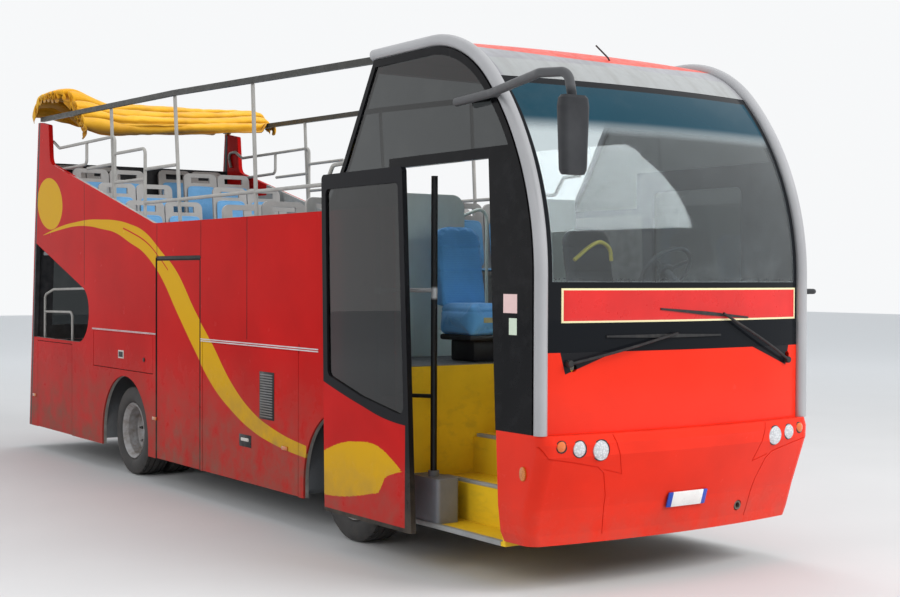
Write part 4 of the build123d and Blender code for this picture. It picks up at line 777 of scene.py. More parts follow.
def leaf_paint(colours):
    """The open front door: black frame above, red below with a brushed yellow mark; its red is the darker copy
    of the paint that stands for the sides' shade.
    """
    leaf = Finish("leaf_paint", colours.shaded_side_red, 0.2)
    station = leaf.station()
    brushed = leaf.both(leaf.minus(leaf.noise(16.0, 6.0, 0.7, leaf.stretch(1, 1, 9)), 0.5), 0.24)
    top = leaf.plus(leaf.line(station, MARK_TOP), leaf.both(brushed, 0.10))
    foot = leaf.plus(leaf.line(station, MARK_FOOT), leaf.both(brushed, 0.12))
    mark = leaf.both(leaf.above(leaf.z, foot), leaf.below(leaf.z, top))
    mark = leaf.both(mark, leaf.between(leaf.plus(station, brushed), 1.38, 2.6))
    red = leaf.mix(mark, leaf.varied(0.1, 2.0), tuple(colours.band_yellow))
    lo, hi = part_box("front_door")
    rim = leaf.either(leaf.above(leaf.x, hi[0] - LEAF_RUBBER[0]),
                      leaf.above(station, x_of(lo[0]) - LEAF_RUBBER[1]))
    rim = leaf.either(rim, leaf.below(leaf.z, lo[2] + LEAF_RUBBER[2]))
    frame_black = leaf.either(leaf.above(leaf.z, leaf.line(station, LEAF_LINE)), rim)
    leaf.dust(leaf.mix(frame_black, red, COAL), leaf.patches((9.0, 5.0), 0.3, 0.8, 0.14, 0.28), 0.9, most=0.5)
    return leaf.dressed(leaf.noise(1.5, 2.0), 0.003, 0.4, coat=0.04, coat_rough=0.06, level=0.05)


def sign_face():
    """A bare red sign with a thin pale border."""
    sign = Finish("sign_face", (0.60, 0.012, 0.010), 0.3)
    (y0, y1), (z0, z1) = SIGN_Y, SIGN_Z
    across = sign.size(sign.minus(sign.y, (y0 + y1) / 2))
    edge = sign.either(sign.above(across, (y1 - y0) / 2 - 0.015, 0.001),
                       sign.minus(1.0, sign.between(sign.z, z0 + 0.013, z1 - 0.013, 0.001)))
    return sign.dressed(sign.noise(60.0, 3.0), 0.0003, 0.5,
                        base=sign.mix(edge, sign.varied(0.10, 3.0), (0.80, 0.72, 0.42)),
                        rough=sign.patches((10.0, 5.0), 0.3, 0.7, 0.22, 0.4))


def plate_face():
    """A bare white number plate with blue ends."""
    plate = Finish("plate_face", (0.80, 0.80, 0.78), 0.3)
    ends = plate.above(plate.size(plate.minus(plate.y, PLATE_Y)), 0.140, 0.0008)
    return plate.dressed(plate.noise(80.0, 2.0), 0.0003, 0.4,
                         base=plate.mix(ends, plate.varied(0.06, 9.0), (0.01, 0.06, 0.42)),
                         rough=plate.patches((15.0, 5.0), 0.3, 0.7, 0.22, 0.4))


# Settings


def colour_setting(name, told, *value):
    return FloatVectorProperty(name=name, description=told, subtype="COLOR", size=3, min=0, max=1,
                               default=value)


def length_setting(name, told, value):
    return FloatProperty(name=name, description=told, default=value, unit="LENGTH")


class BusColours(bpy.types.PropertyGroup):
    # Painted light: the side red is a darker copy of the one paint, standing for the sides' shade, and the
    # front red is a lighter, more orange copy, standing for sunlight on the front.
    shaded_side_red: colour_setting("Side red", "Paint of the sides", 0.50, 0.008, 0.007)
    sunlit_front_red: colour_setting("Front red", "Paint of the front panel and bumper", 0.76, 0.028, 0.010)
    band_yellow: colour_setting("Band yellow", "Yellow of the bands and the disc", 0.66, 0.36, 0.003)
    canopy_yellow: colour_setting("Canopy yellow", "Cloth of the canopy", 0.70, 0.33, 0.007)
    header_grey: colour_setting("Header grey", "Roof edge over the windscreen", 0.30, 0.30, 0.32)
    hoop_silver: colour_setting("Hoop silver", "The two hoops round the windscreen", 0.40, 0.40, 0.41)
    rail_white: colour_setting("Rail white", "Handrails on the deck", 0.36, 0.35, 0.33)
    shell_grey: colour_setting("Shell grey", "Moulded seats on the deck", 0.38, 0.365, 0.35)
    seat_blue: colour_setting("Seat blue", "Inserts of the deck seats", 0.15, 0.36, 0.62)
    crew_blue: colour_setting("Crew blue", "Cloth of the guide's seat", 0.12, 0.40, 0.90)
    step_yellow: colour_setting("Step yellow", "Covering of the entry steps", 0.80, 0.52, 0.020)
    tyre_black: colour_setting("Tyre black", "Rubber of the tyres", 0.016, 0.016, 0.017)
    wheel_grey: colour_setting("Wheel grey", "Paint of the wheels", 0.42, 0.42, 0.43)
    glass_tint: colour_setting("Glass tint", "Tint of the windscreen", 0.62, 0.70, 0.72)


class BusTyres(bpy.types.PropertyGroup):
    radius: length_setting("Radius", "Outside radius of a tyre", 0.46)
    width: length_setting("Width", "Width across the side walls", 0.275)
    groove: length_setting("Groove", "Depth of the tread grooves", 0.011)
    steps: IntProperty(name="Steps", description="Steps round the tyre", default=108, min=24, max=200)


class BusSeats(bpy.types.PropertyGroup):
    wide: length_setting("Insert width", "Width of a blue insert", 0.37)
    back: length_setting("Back length", "Length of the insert in the back", 0.43)
    base: length_setting("Base length", "Length of the insert on the seat", 0.35)
    crown: length_setting("Crown", "How far an insert rises in its middle", 0.012)
    lean: FloatProperty(name="Lean", description="Lean of the backs, as run over rise", default=0.12)


class BusCanopy(bpy.types.PropertyGroup):
    front: length_setting("Front", "Station of the cloth's front edge", 8.44)
    rear: length_setting("Rear", "Station of the cloth's rear edge", 9.90)
    folds: FloatProperty(name="Folds", description="How many folds lie across the rails", default=10.5)
    depth: length_setting("Fold depth", "Half the height of a fold", 0.052)
    crest: length_setting("Crest", "Height of the bundle's top", 4.14)
    foot: length_setting("Foot", "Height of the lowest edge between the rails", 3.69)


class BusStage(bpy.types.PropertyGroup):
    floor_grey: FloatProperty(name="Floor", description="Grey of the floor", default=0.62, min=0, max=1)
    key: FloatProperty(name="Key lamp", description="Power of the large lamp ahead of the bus", default=2600.0)
    fill: FloatProperty(name="Fill lamp", description="Power of the lamp beside the bus", default=900.0)
    sky: FloatProperty(name="Sky", description="Strength of the even light from all round", default=0.62)


# Tyres

# Half of a tyre's section: share of the width from its middle, and depth below the tread (1 marks a groove)
TYRE_HALF = ((0.0, 0.0), (0.09, 0.0), (0.095, 1.0), (0.135, 1.0), (0.14, 0.0), (0.29, 0.001), (0.295, 1.001),
             (0.33, 1.001), (0.335, 0.002), (0.425, 0.005), (0.47, 0.020), (0.492, 0.048), (0.5, 0.085),
             (0.49, 0.120), (0.462, 0.148), (0.425, 0.162), (0.385, 0.170))
# Each node of tyres with the body that it turns with
TYRES = (("tyre_front_left", "wheel_front_left"), ("tyre_front_right", "wheel_front_right"),
         ("tyres_rear_left", "wheels_rear_left"), ("tyres_rear_right", "wheels_rear_right"))
# Between which shares of the width the shoulder cuts lie, how many steps apart, and how deep
SHOULDER = (0.32, 0.45)
CUT_EVERY = 3
CUT_DEPTH = 0.007


def spin_tyre(bm, centre, settings, tread):
    """One tyre: a closed section spun about its axle, with cross cuts in its shoulders."""
    ring = []
    for share, drop in TYRE_HALF:
        depth = settings.groove if drop >= 1.0 else drop
        ring.append((share * settings.width, settings.radius - depth))
    section = [(-across, radius) for across, radius in reversed(ring[1:])] + ring
    verts = [bm.verts.new((centre.x, centre.y + across, centre.z + radius)) for across, radius in section]
    for vert, (_, radius) in zip(verts, section):
        vert[tread] = 1.0 if radius > settings.radius - 0.03 else 0.0
    edges = [bm.edges.new(pair) for pair in zip(verts, verts[1:] + verts[:1])]
    bmesh.ops.spin(bm, geom=verts + edges, cent=centre, axis=(0, 1, 0), dvec=(0, 0, 0), angle=math.tau,
                   steps=settings.steps, use_merge=True, use_duplicate=False)
    bmesh.ops.recalc_face_normals(bm, faces=bm.faces)
    cuts = []
    for face in bm.faces:
        middle = face.calc_center_median() - centre
        step = round(math.atan2(middle.z, middle.x) / math.tau * settings.steps - 0.5)
        on_shoulder = settings.width * SHOULDER[0] <= abs(middle.y) < settings.width * SHOULDER[1]
        on_tread = math.hypot(middle.x, middle.z) >= settings.radius - CUT_DEPTH
        if on_shoulder and on_tread and step % CUT_EVERY == 0:
            cuts.append(face)
    bmesh.ops.inset_individual(bm, faces=cuts, thickness=0.002, depth=-CUT_DEPTH, use_even_offset=True)


class BUS_OT_tyres(bpy.types.Operator):
    """Spin the six tyres with their grooves and shoulder cuts"""
    bl_idname = "bus.tyres"
    bl_label = "Tyres"

    def execute(self, context):
        settings = context.scene.bus_tyres
        material = rubber(context.scene.bus_colours)
        for node, body in TYRES:
            lo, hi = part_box(node)
            centre = (Vector(lo) + Vector(hi)) / 2
            middles = (centre.y,)
            if hi[1] - lo[1] > settings.width * 1.5:
                middles = (lo[1] + settings.width / 2, hi[1] - settings.width / 2)
            bm = bmesh.new()
            tread = bm.verts.layers.float.new("tread")
            for across in middles:
                spin_tyre(bm, Vector((centre.x, across, centre.z)), settings, tread)
            piece = new_piece(bm, node + "_rubber", material, body, 30.0)
            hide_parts(node)
        return {"FINISHED"}


# Seats

# Rings of a pad's face, from its edge inwards: how much each shrinks, and its rise as a share of the crown
PAD_RINGS = ((0.975, 0.10), (0.97, 0.06), (0.975, -0.16), (0.975, 0.16), (0.86, 0.34), (0.72, 0.28),
             (0.5, 0.14))
# How far a pad's sides are drawn in between its corners, as shares of its width and length
PAD_WAIST = (0.022, 0.018)
PAD_THICK = 0.02
# Station of the seats' backs, floor height, and 1 where the right side has a pair too
SEAT_ROWS = ((3.3, 1.70, 1), (4.1, 1.70, 1), (4.9, 1.70, 1), (5.7, 1.70, 0), (6.48, 1.70, 0), (7.27, 1.84, 1),
             (8.08, 2.07, 1), (8.9, 2.28, 1), (9.67, 2.365, 1))
SEAT_PLACES = (-0.911, -0.469, 0.469, 0.911)
# Heights of the middles of the two inserts over the floor, and how far ahead of the back the lower one lies
BASE_MIDDLE = 0.4425
BACK_MIDDLE = 0.685
BASE_AHEAD = 0.245


def upright_of(verts, least):
    return [edge for edge in edges_of(verts) if abs(edge.verts[0].co.z - edge.verts[1].co.z) > least]


def cushion(bm, wide, long, crown, radius, place):
    """A crowned pad: round corners, a seam round its face and sides drawn in between its corners."""
    upright = upright_of(sized_cube(bm, (wide, long, PAD_THICK)), PAD_THICK / 2)
    island = grow(rounded(bm, upright, radius, 3))
    faces = {face for vert in island for face in vert.link_faces}
    top = max(faces, key=lambda face: face.calc_center_median().z)
    for shrink, rise in PAD_RINGS:
        top = bmesh.ops.extrude_discrete_faces(bm, faces=[top])["faces"][0]
        bmesh.ops.scale(bm, vec=(shrink, shrink, 1), verts=top.verts[:])
        bmesh.ops.translate(bm, vec=(0, 0, rise * crown), verts=top.verts[:])
    island = grow(top.verts)
    for vert in island:
        share_x = vert.co.x / (wide / 2)
        share_y = vert.co.y / (long / 2)
        vert.co.x *= 1 - PAD_WAIST[0] * (1 - min(1.0, share_y ** 2))
        vert.co.y *= 1 - PAD_WAIST[1] * (1 - min(1.0, share_x ** 2))
    bmesh.ops.transform(bm, matrix=place, verts=island)


def leaning(lean):
    """The way up along a back that leans, and the way that its face looks."""
    return Vector((-lean, 0, 1)).normalized(), Vector((1, 0, lean)).normalized()


class BUS_OT_deck_seats(bpy.types.Operator):
    """Crowned inserts in the backs and bases of the deck seats"""
    bl_idname = "bus.deck_seats"
    bl_label = "Deck seat inserts"

    def execute(self, context):
        settings = context.scene.bus_seats
        slant, forward = leaning(settings.lean)
        bm = bmesh.new()
        for station, floor, right in SEAT_ROWS:
            middle = station - 0.04 + (BACK_MIDDLE - 0.4) * settings.lean - 0.012
            for y in SEAT_PLACES if right else SEAT_PLACES[2:]:
                below = (x_of(station - BASE_AHEAD), y, floor + BASE_MIDDLE)
                base = frame_at(below, (0, 1, 0), (-1, 0, 0), (0, 0, 1))
                cushion(bm, settings.wide, settings.base, settings.crown, 0.05, base)
                back = frame_at((x_of(middle), y, floor + BACK_MIDDLE), (0, 1, 0), slant, forward)
                cushion(bm, settings.wide, settings.back, settings.crown, 0.06, back)
        material = moulded("seat_insert_blue", context.scene.bus_colours.seat_blue, 0.26, 240.0, 0.0001, 0.12)
        piece = new_piece(bm, "deck_seat_inserts", material, "bus_body", 60.0)
        subdivide_smooth(piece)
        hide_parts("seat_pads")
        return {"FINISHED"}


# How the crew seats are blown up: size of the mesh, how far a point may move, pressure, and steps of the cloth
PLUMP_MESH = 0.009
PLUMP_REACH = 0.016
PLUMP_PRESSURE = 4.0
PLUMP_STEPS = 16


def plump(piece):
    """Blow a pad up a little as cloth, keep how far each point went up to a reach, and make that its shape."""
    scene = bpy.context.scene
    remesh = piece.modifiers.new("remesh", "REMESH")
    remesh.mode = "VOXEL"
    remesh.voxel_size = PLUMP_MESH
    bpy.context.view_layer.update()
    dense = bpy.data.meshes.new_from_object(piece.evaluated_get(bpy.context.evaluated_depsgraph_get()))
    material = piece.data.materials[0]
    piece.modifiers.clear()
    piece.data = dense
    dense.materials.clear()
    dense.materials.append(material)
    start = [vert.co.copy() for vert in dense.vertices]
    cloth = piece.modifiers.new("cloth", "CLOTH")
    cloth.settings.use_pressure = True
    cloth.settings.uniform_pressure_force = PLUMP_PRESSURE
    cloth.settings.effector_weights.gravity = 0.0
    cloth.settings.quality = 4
    for step in range(PLUMP_STEPS):
        scene.frame_set(step + 1)
    blown = piece.evaluated_get(bpy.context.evaluated_depsgraph_get()).to_mesh()
    moved = [vert.co.copy() for vert in blown.vertices]
    piece.modifiers.clear()
    scene.frame_set(1)
    for vert, before, after in zip(dense.vertices, start, moved):
        way = after - before
        if way.length > PLUMP_REACH:
            way = way.normalized() * PLUMP_REACH
        vert.co = before + way
    dense.update()


# Seams of a crew seat: height over its floor, depth and width
CREW_SEAMS = ((0.70, 0.006, 0.008), (0.39, 0.006, 0.007), (0.90, 0.005, 0.008))
CREW_LEAN = 0.155
CREW_HIGH = 1.08


def sewn(piece):
    """Press the seam lines into a padded seat."""
    mesh = piece.data
    for vert in mesh.vertices:
        for height, depth, wide in CREW_SEAMS:
            off = (vert.co.z - CREW_FLOOR - height) / wide
            if abs(off) < 3:
                vert.co = vert.co - vert.normal * depth * math.exp(-off * off)
    mesh.update()


def crew_box(bm, station, rear, y, half, foot, top, radius, segments=2):
    """A rounded box of a crew seat: stations of its two ends, half its width, and heights over the floor."""
    rounded_box(bm, (x_of(station), y - half, CREW_FLOOR + foot), (x_of(rear), y + half, CREW_FLOOR + top),
                radius, segments)


def crew_seat(node, station, y, wide, material, black):
    """A padded seat on a pedestal: two-tier cushion, tall back with a round top, and a dark base."""
    slant, forward = leaning(CREW_LEAN)
    bm = bmesh.new()
    crew_box(bm, station - 0.005, station - 0.455, y, wide / 2 - 0.012, 0.205, 0.437, 0.04, 4)
    place = frame_at((x_of(station + 0.045), y, CREW_FLOOR + (0.42 + CREW_HIGH) / 2), (0, 1, 0), slant, forward)
    back = sized_cube(bm, (wide - 0.03, CREW_HIGH - 0.44, 0.085))
    corners = [edge for edge in upright_of(back, 0.05) if edge.verts[0].co.y > 0]
    bmesh.ops.transform(bm, matrix=place, verts=grow(rounded(bm, corners, 0.13, 6)))
    piece = new_piece(bm, node + "_cloth", material, "bus_body", 60.0)
    plump(piece)
    sewn(piece)
    piece.data.shade_smooth()
    subdivide_smooth(piece)
    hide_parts(node)
    under = bmesh.new()
    crew_box(under, station - 0.07, station - 0.39, y, 0.15, 0.001, 0.17, 0.02)
    crew_box(under, station - 0.02, station - 0.44, y, wide / 2 - 0.02, 0.165, 0.208, 0.015)
    foot = new_piece(under, node + "_cloth_base", black, "bus_body")
    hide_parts(node)


class BUS_OT_crew_seats(bpy.types.Operator):
    """The guide's blue seat and the driver's grey one, with their seams"""
    bl_idname = "bus.crew_seats"
    bl_label = "Crew seats"

    def execute(self, context):
        blue = tuple(context.scene.bus_colours.crew_blue)
        black = moulded("seat_base_black", (0.02, 0.02, 0.022), 0.5)
        light_blue = tuple(min(1.0, part * 1.6) for part in blue)
        station, y = self.seat("guide_seat", "crew_blue", woven("crew_cloth_blue", blue, light_blue), black)
        label = ((x_of(station - 0.458), y - 0.115, 1.735), (x_of(station - 0.474), y - 0.015, 1.775), 0.002)
        boxes("guide_seat_label", [label], laminate("seat_label_film", (0.45, 0.42, 0.22)))
        grey = woven("crew_cloth_grey", (0.06, 0.065, 0.075), (0.12, 0.125, 0.14))
        self.seat("driver_seat", "crew_grey", grey, black)
        return {"FINISHED"}

    def seat(self, node, slot, material, black):
        """Build one seat in its solid's box, from the cushion's front, and give where its back is."""
        lo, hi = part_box(node)
        station = x_of(hi[0]) + 0.46
        y = (lo[1] + hi[1]) / 2
        crew_seat(node, station, y, hi[1] - lo[1], material, black)
        return station, y


# The canopy

# Half the cloth's width; it turns down at a rail's inner edge, or a rail's width further out
CLOTH_HALF = 1.42
RAIL_INNER = 1.158
RAIL_WIDE = 0.104
CLOTH_THICK = 0.003
# Tops of the roof rails: station and height at the front end, at the bend and at the rear end
RAIL_LINE = ((2.1, 3.73), (5.857, 3.872), (9.79, 3.955))


def rail_height(station):
    """Top of the roof rails at a station."""
    low, high = RAIL_LINE[1:] if station > RAIL_LINE[1][0] else RAIL_LINE[:2]
    share = (station - low[0]) / (high[0] - low[0])
    return low[1] + share * (high[1] - low[1]) + 0.026


def ease(low, high, value):
    """Nought below a value, one above another, with a smooth step between them."""
    share = min(1.0, max(0.0, (value - low) / (high - low)))
    return share * share * (3 - 2 * share)


def swell(value, middle, wide):
    return math.exp(-((value - middle) / wide) ** 2)


def cloud(*place):
    return noise.noise(Vector(place))


def cloth_point(along, across, settings):
    """Where a point of the cloth lies: along from its rear edge, across from right (-1) to left (1)."""
    out = abs(across) * CLOTH_HALF
    side = -1.0 if across < 0 else 1.0
    bunch = cloud(along * 2.1, across * 1.3, 3.7)
    drift = cloud(along * 1.2 + 7.0, across * 2.2, 0.4)
    phase = math.tau * (settings.folds * along + 0.50 * drift + 0.30 * math.sin(2.2 * across + 0.6))
    station = settings.rear - along * (settings.rear - settings.front)
    station += 0.030 * drift - 0.026 * math.sin(2 * phase)
    over = 1.0 if side > 0 else ease(8.86, 9.08, station)
    edge = RAIL_INNER + RAIL_WIDE * over
    y = side * min(out, edge)
    hang = max(0.0, out - edge)
    nose = ease(9.0, settings.front, station)
    crest = settings.crest + 0.13 * swell(y, -1.12, 0.26) * ease(8.7, 9.1, station)
    crest -= 0.03 * swell(y, -0.66, 0.2)
    crest += 0.02 * cloud(y * 1.7, 2.0, 5.5) - 0.24 * nose
    crest -= 0.17 * ease(9.66, 9.92, station)
    depth = settings.depth * (0.8 + 0.7 * bunch) * (1 + 0.5 * swell(y, -1.2, 0.25))
    height = crest - depth * (1 - math.cos(phase))
    lip = ease(0.93, 1.0, along)
    foot = settings.foot + 0.085 * max(0.0, y + 0.8) + 0.07 * swell(y, -1.2, 0.2)
    height += (foot - height) * lip
    station += 0.11 * lip * lip
    height += 0.016 * cloud(station * 12.0, y * 1.9, 1.3)
    height += 0.008 * cloud(station * 17.0, y * 9.0, 4.1)
    rail = rail_height(station) + 0.004
    on_rail = ease(1.10, 1.165, abs(y)) if over > 0 else 0.0
    if height < rail:
        height += (rail - height) * on_rail * over
    if hang > 0:
        lobes = 0.22 + 0.9 * swell(station, 9.80, 0.16) if side < 0 else 0.85
        ragged = hang * lobes * (1.1 + 0.5 * cloud(along * 5.0, side * 2.0, 9.1))
        drop = ragged * (0.75 + 0.25 * math.cos(phase))
        height -= drop * over + 0.6 * hang * (1 - over) * (0.8 + 0.2 * math.cos(phase))
        billow = 0.010 + 0.03 * math.sin(math.pi * min(1.0, hang / 0.16)) * (1 + math.cos(phase)) / 2
        y += side * billow * over - side * 0.05 * (1 - over) * math.sin(math.pi * min(1.0, hang / 0.26))
    # The second value is the fold share, one in a fold's valley and on the curled front lip, which the cloth's
    # material turns into painted shade.
    return Vector((x_of(station), y, height)), max(0.5 - 0.5 * math.cos(phase), 1.15 * lip)


class BUS_OT_canopy(bpy.types.Operator):
    """The gathered canopy: one sheet, folded across both rails with its edges hanging over them"""
    bl_idname = "bus.canopy"
    bl_label = "Canopy"

    def execute(self, context):
        settings = context.scene.bus_canopy
        bm = bmesh.new()
        bmesh.ops.create_grid(bm, x_segments=230, y_segments=120, size=0.5)
        widest = max(vert.co.x for vert in bm.verts)
        bmesh.ops.scale(bm, vec=(0.5 / widest, 0.5 / widest, 1), verts=bm.verts)
        # The fold share of each point, which the cloth's material turns into painted shade
        folded = bm.verts.layers.float.new("fold")
        for vert in bm.verts:
            vert.co, vert[folded] = cloth_point(vert.co.x + 0.5, vert.co.y * 2, settings)
        for _ in range(2):
            bmesh.ops.smooth_vert(bm, verts=bm.verts, factor=0.4, use_axis_x=True, use_axis_y=True,
                                  use_axis_z=True)
        cloth = canvas_yellow(context.scene.bus_colours)
        piece = new_piece(bm, "canopy_cloth_sheet", cloth, "bus_body", 180)
        wall = piece.modifiers.new("wall", "SOLIDIFY")
        wall.thickness = CLOTH_THICK
        wall.offset = 0.0
        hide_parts("tarp")
        return {"FINISHED"}


# Front

# The blank sign under the windscreen: its ends across the bus, its foot and its top
SIGN_Y = (-1.062, 1.144)
SIGN_Z = (1.792, 2.018)
# The number plate: its middle, its length, height and thickness
PLATE_Y = 0.015
PLATE_Z = 0.575
PLATE_SIZE = (0.012, 0.36, 0.11)
# Lamps on each side of the bumper: how far out, height and radius
LAMPS = ((0.811, 0.965, 0.062), (0.975, 0.98, 0.048), (1.110, 1.0, 0.032))
# Each wiper: pivot, joint with its blade, and the blade's two ends, as (y, z)
WIPERS = (("right", (-1.012, 1.529), (-0.138, 1.712), ((-0.719, 1.701), (0.294, 1.693))),
          ("left", (1.031, 1.496), (0.301, 1.843), ((-0.271, 1.879), (0.581, 1.810))))
# The curved yellow grab rail behind the screen, as (y, z)
GRAB_RAIL = ((-0.613, 2.209), (-0.471, 2.307), (-0.381, 2.343), (-0.289, 2.296), (-0.279, 2.205))


def part_way(ends, share):
    return ends[0] + share * (ends[1] - ends[0])


def sign_panel(bm):
    """A thin panel that follows the curved windscreen, with its front edge rounded."""
    made = bmesh.ops.create_grid(bm, x_segments=40, y_segments=6, size=0.5)["verts"]
    span = max(vert.co.x for vert in made) * 2
    for vert in made:
        y = part_way(SIGN_Y, vert.co.x / span + 0.5)
        z = part_way(SIGN_Z, vert.co.y / span + 0.5)
        vert.co = (from_ahead("windscreen", y, z).x + 0.001, y, z)
    faces = list({face for vert in made for face in vert.link_faces})
    bmesh.ops.recalc_face_normals(bm, faces=faces)
    if faces[0].normal.x < 0:
        bmesh.ops.reverse_faces(bm, faces=faces)
    raised = bmesh.ops.extrude_face_region(bm, geom=faces)["geom"]
    top = {item for item in raised if isinstance(item, bmesh.types.BMVert)}
    bmesh.ops.translate(bm, vec=(0.004, 0, 0), verts=list(top))
    rim = [edge for edge in edges_of(top) if top.issuperset(edge.verts) and edge.calc_face_angle(0.0) > 1.2
           and abs(edge.verts[0].co.x - edge.verts[1].co.x) < 0.03]
    rounded(bm, rim, 0.002)


def plate_panel(bm):
    """The bare number plate, which leans with the bumper's face."""
    half = [part / 2 for part in PLATE_SIZE]
    low, high = (from_ahead("bumper", PLATE_Y, PLATE_Z + up).x for up in (-0.05, 0.05))
    rounded_box(bm, [-part for part in half], half, 0.005)
    lean = Matrix.Rotation(math.atan2(high - low, 0.1), 3, "Y")
    bmesh.ops.rotate(bm, verts=bm.verts, cent=(0, 0, 0), matrix=lean)
    bmesh.ops.translate(bm, vec=((low + high) / 2 + 0.012, PLATE_Y, PLATE_Z), verts=bm.verts)


def lamp_ring(bm, y, z, radius):
    """A dark ring round a lamp, set on the bumper's face."""
    reach = radius + 0.010
    high, low = (from_ahead("bumper", y, z + up) for up in (reach, -reach))
    left, right = (from_ahead("bumper", y + out, z) for out in (-reach, reach))
    up = (high - low).normalized()
    across = (right - left).normalized()
    ahead = across.cross(up).normalized()
    if ahead.x < 0:
        ahead = -ahead
    ring = bmesh.ops.create_circle(bm, segments=10, radius=0.006)["verts"]
    bmesh.ops.scale(bm, vec=(1, 0.55, 1), verts=ring)
    bmesh.ops.translate(bm, vec=(radius, 0, 0), verts=ring)
    bmesh.ops.rotate(bm, verts=ring, cent=(0, 0, 0), matrix=Matrix.Rotation(math.pi / 2, 3, "X"))
    bmesh.ops.spin(bm, geom=ring + edges_of(ring), cent=(0, 0, 0), axis=(0, 0, 1), dvec=(0, 0, 0),
                   angle=math.tau, steps=40, use_merge=True, use_duplicate=False)
    island = grow([vert for vert in bm.verts if abs(vert.co.x) < 0.2 and abs(vert.co.z) < 0.1])
    place = frame_at((high + low + left + right) / 4, across, ahead.cross(across), ahead)
    bmesh.ops.transform(bm, matrix=place, verts=island)


def wiper_arm(pivot, joint):
    """Points of an arm that rises over the glass between its pivot and its blade."""
    points = []
    for share in (step / 8 for step in range(9)):
        y, z = (part_way(ends, share) for ends in zip(pivot, joint))
        lift = 0.03 + 0.02 * math.sin(math.pi * min(1.0, share * 1.2))
        points.append((ahead_of(y, z) + lift, y, z))
    return points


def wiper_blade(bm, ends):
    """A sprung blade, deepest in its middle, just ahead of the glass."""
    across, heights = zip(*ends)
    made = bmesh.ops.create_grid(bm, x_segments=24, y_segments=1, size=0.5)["verts"]
    span = max(vert.co.x for vert in made)
    for vert in made:
        share = vert.co.x / span / 2 + 0.5
        up = 0.013 if vert.co.y > 0 else -0.013
        y = part_way(across, share)
        z = part_way(heights, share) + up * (1 - 0.55 * abs(2 * share - 1))
        vert.co = (ahead_of(y, z) + 0.012, y, z)
    bmesh.ops.recalc_face_normals(bm, faces=bm.faces)
    bmesh.ops.solidify(bm, geom=bm.faces[:], thickness=0.014)


class BUS_OT_front_trim(bpy.types.Operator):
    """Bare number plate and sign, lamp bezels, wipers, antenna and the small lamps at the corners"""
    bl_idname = "bus.front_trim"
    bl_label = "Front trim"

    def execute(self, context):
        bm = bmesh.new()
        sign_panel(bm)
        new_piece(bm, "sign_board", sign_face(), "bus_body")
        bm = bmesh.new()
        plate_panel(bm)
        new_piece(bm, "number_plate", plate_face(), "bus_body")
        bm = bmesh.new()
        for y, z, radius in LAMPS:
            for side in (-1, 1):
                lamp_ring(bm, side * y, z, radius + 0.004)
        bezel = black_gloss("lamp_bezel", (0.02, 0.02, 0.022), 0.25)
        new_piece(bm, "lamp_bezels", bezel, "bus_body")
        amber = small_lens("amber_lens", (0.80, 0.25, 0.01), 0.15, (0.85, 0.32, 0.02), (0.5, 0.12, 0.0),
                           180.0, 1.0)
        bm = bmesh.new()
        for side in (-1, 1):
            bulb = round_plate(bm, (0, 0, 0), 0.042, 0.022, "Y", 28, 0.008)
            bmesh.ops.scale(bm, vec=(0.75, 1, 1.15), verts=bulb)
            bmesh.ops.translate(bm, vec=(x_of(0.18), side * (SIDE_Y + 0.004), 0.812), verts=bulb)
        new_piece(bm, "corner_markers", amber, "bus_body")
        black = plain_rubber()
        for word, pivot, joint, ends in WIPERS:
            self.wiper(word, pivot, joint, ends, black)
        foot = surface("cab_roof", (x_of(0.80), 0.0, 6.0), (0, 0, -1))
        antenna = [foot + Vector(way) for way in ((0, 0, -0.002), (-0.005, -0.01, 0.02), (-0.05, -0.09, 0.11))]
        pipe("roof_antenna", antenna, 0.006, black, 0.02)
        grab = tube_white("grab_yellow", (0.62, 0.50, 0.08))
        pipe("screen_grab_rail", [(x_of(0.45), y, z) for y, z in GRAB_RAIL], 0.014, grab, 0.05)
        return {"FINISHED"}

    def wiper(self, word, pivot, joint, ends, black):
        """A spindle cap, an arm that follows the glass, and a sprung blade held at its middle."""
        arm = pipe("wiper_arm_" + word, wiper_arm(pivot, joint), 0.009, black)
        bm = bmesh.new()
        round_plate(bm, (ahead_of(*pivot) + 0.018, *pivot), 0.024, 0.044, "X", 24, 0.006)
        cap = new_piece(bm, "wiper_cap_" + word, black, "bus_body")
        bm = bmesh.new()
        wiper_blade(bm, ends)
        blade = new_piece(bm, "wiper_blade_" + word, black, "bus_body")
        for piece in (arm, cap, blade):
            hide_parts("wipers")


# Entry

# The outer edge of each entry step: how far in from the first one, and its height
STEP_EDGES = ((0.0, 0.320), (0.310, 0.610), (0.610, 0.900), (0.910, 1.160))
NOSING_ENDS = (1.62, 0.49)
# Bare stickers on the black panel: name, station, height, length, height of the sticker and colour
STICKERS = (("sticker_upper", 0.33, 1.915, 0.150, 0.125, (0.80, 0.56, 0.54)),
            ("sticker_lower", 0.30, 1.765, 0.085, 0.110, (0.62, 0.72, 0.58)))
# The lever beside the drive box: how far to the right, and height
LEVER_STATION = 0.515
LEVER = ((-0.905, 0.70), (-0.925, 0.86), (-0.93, 1.02))


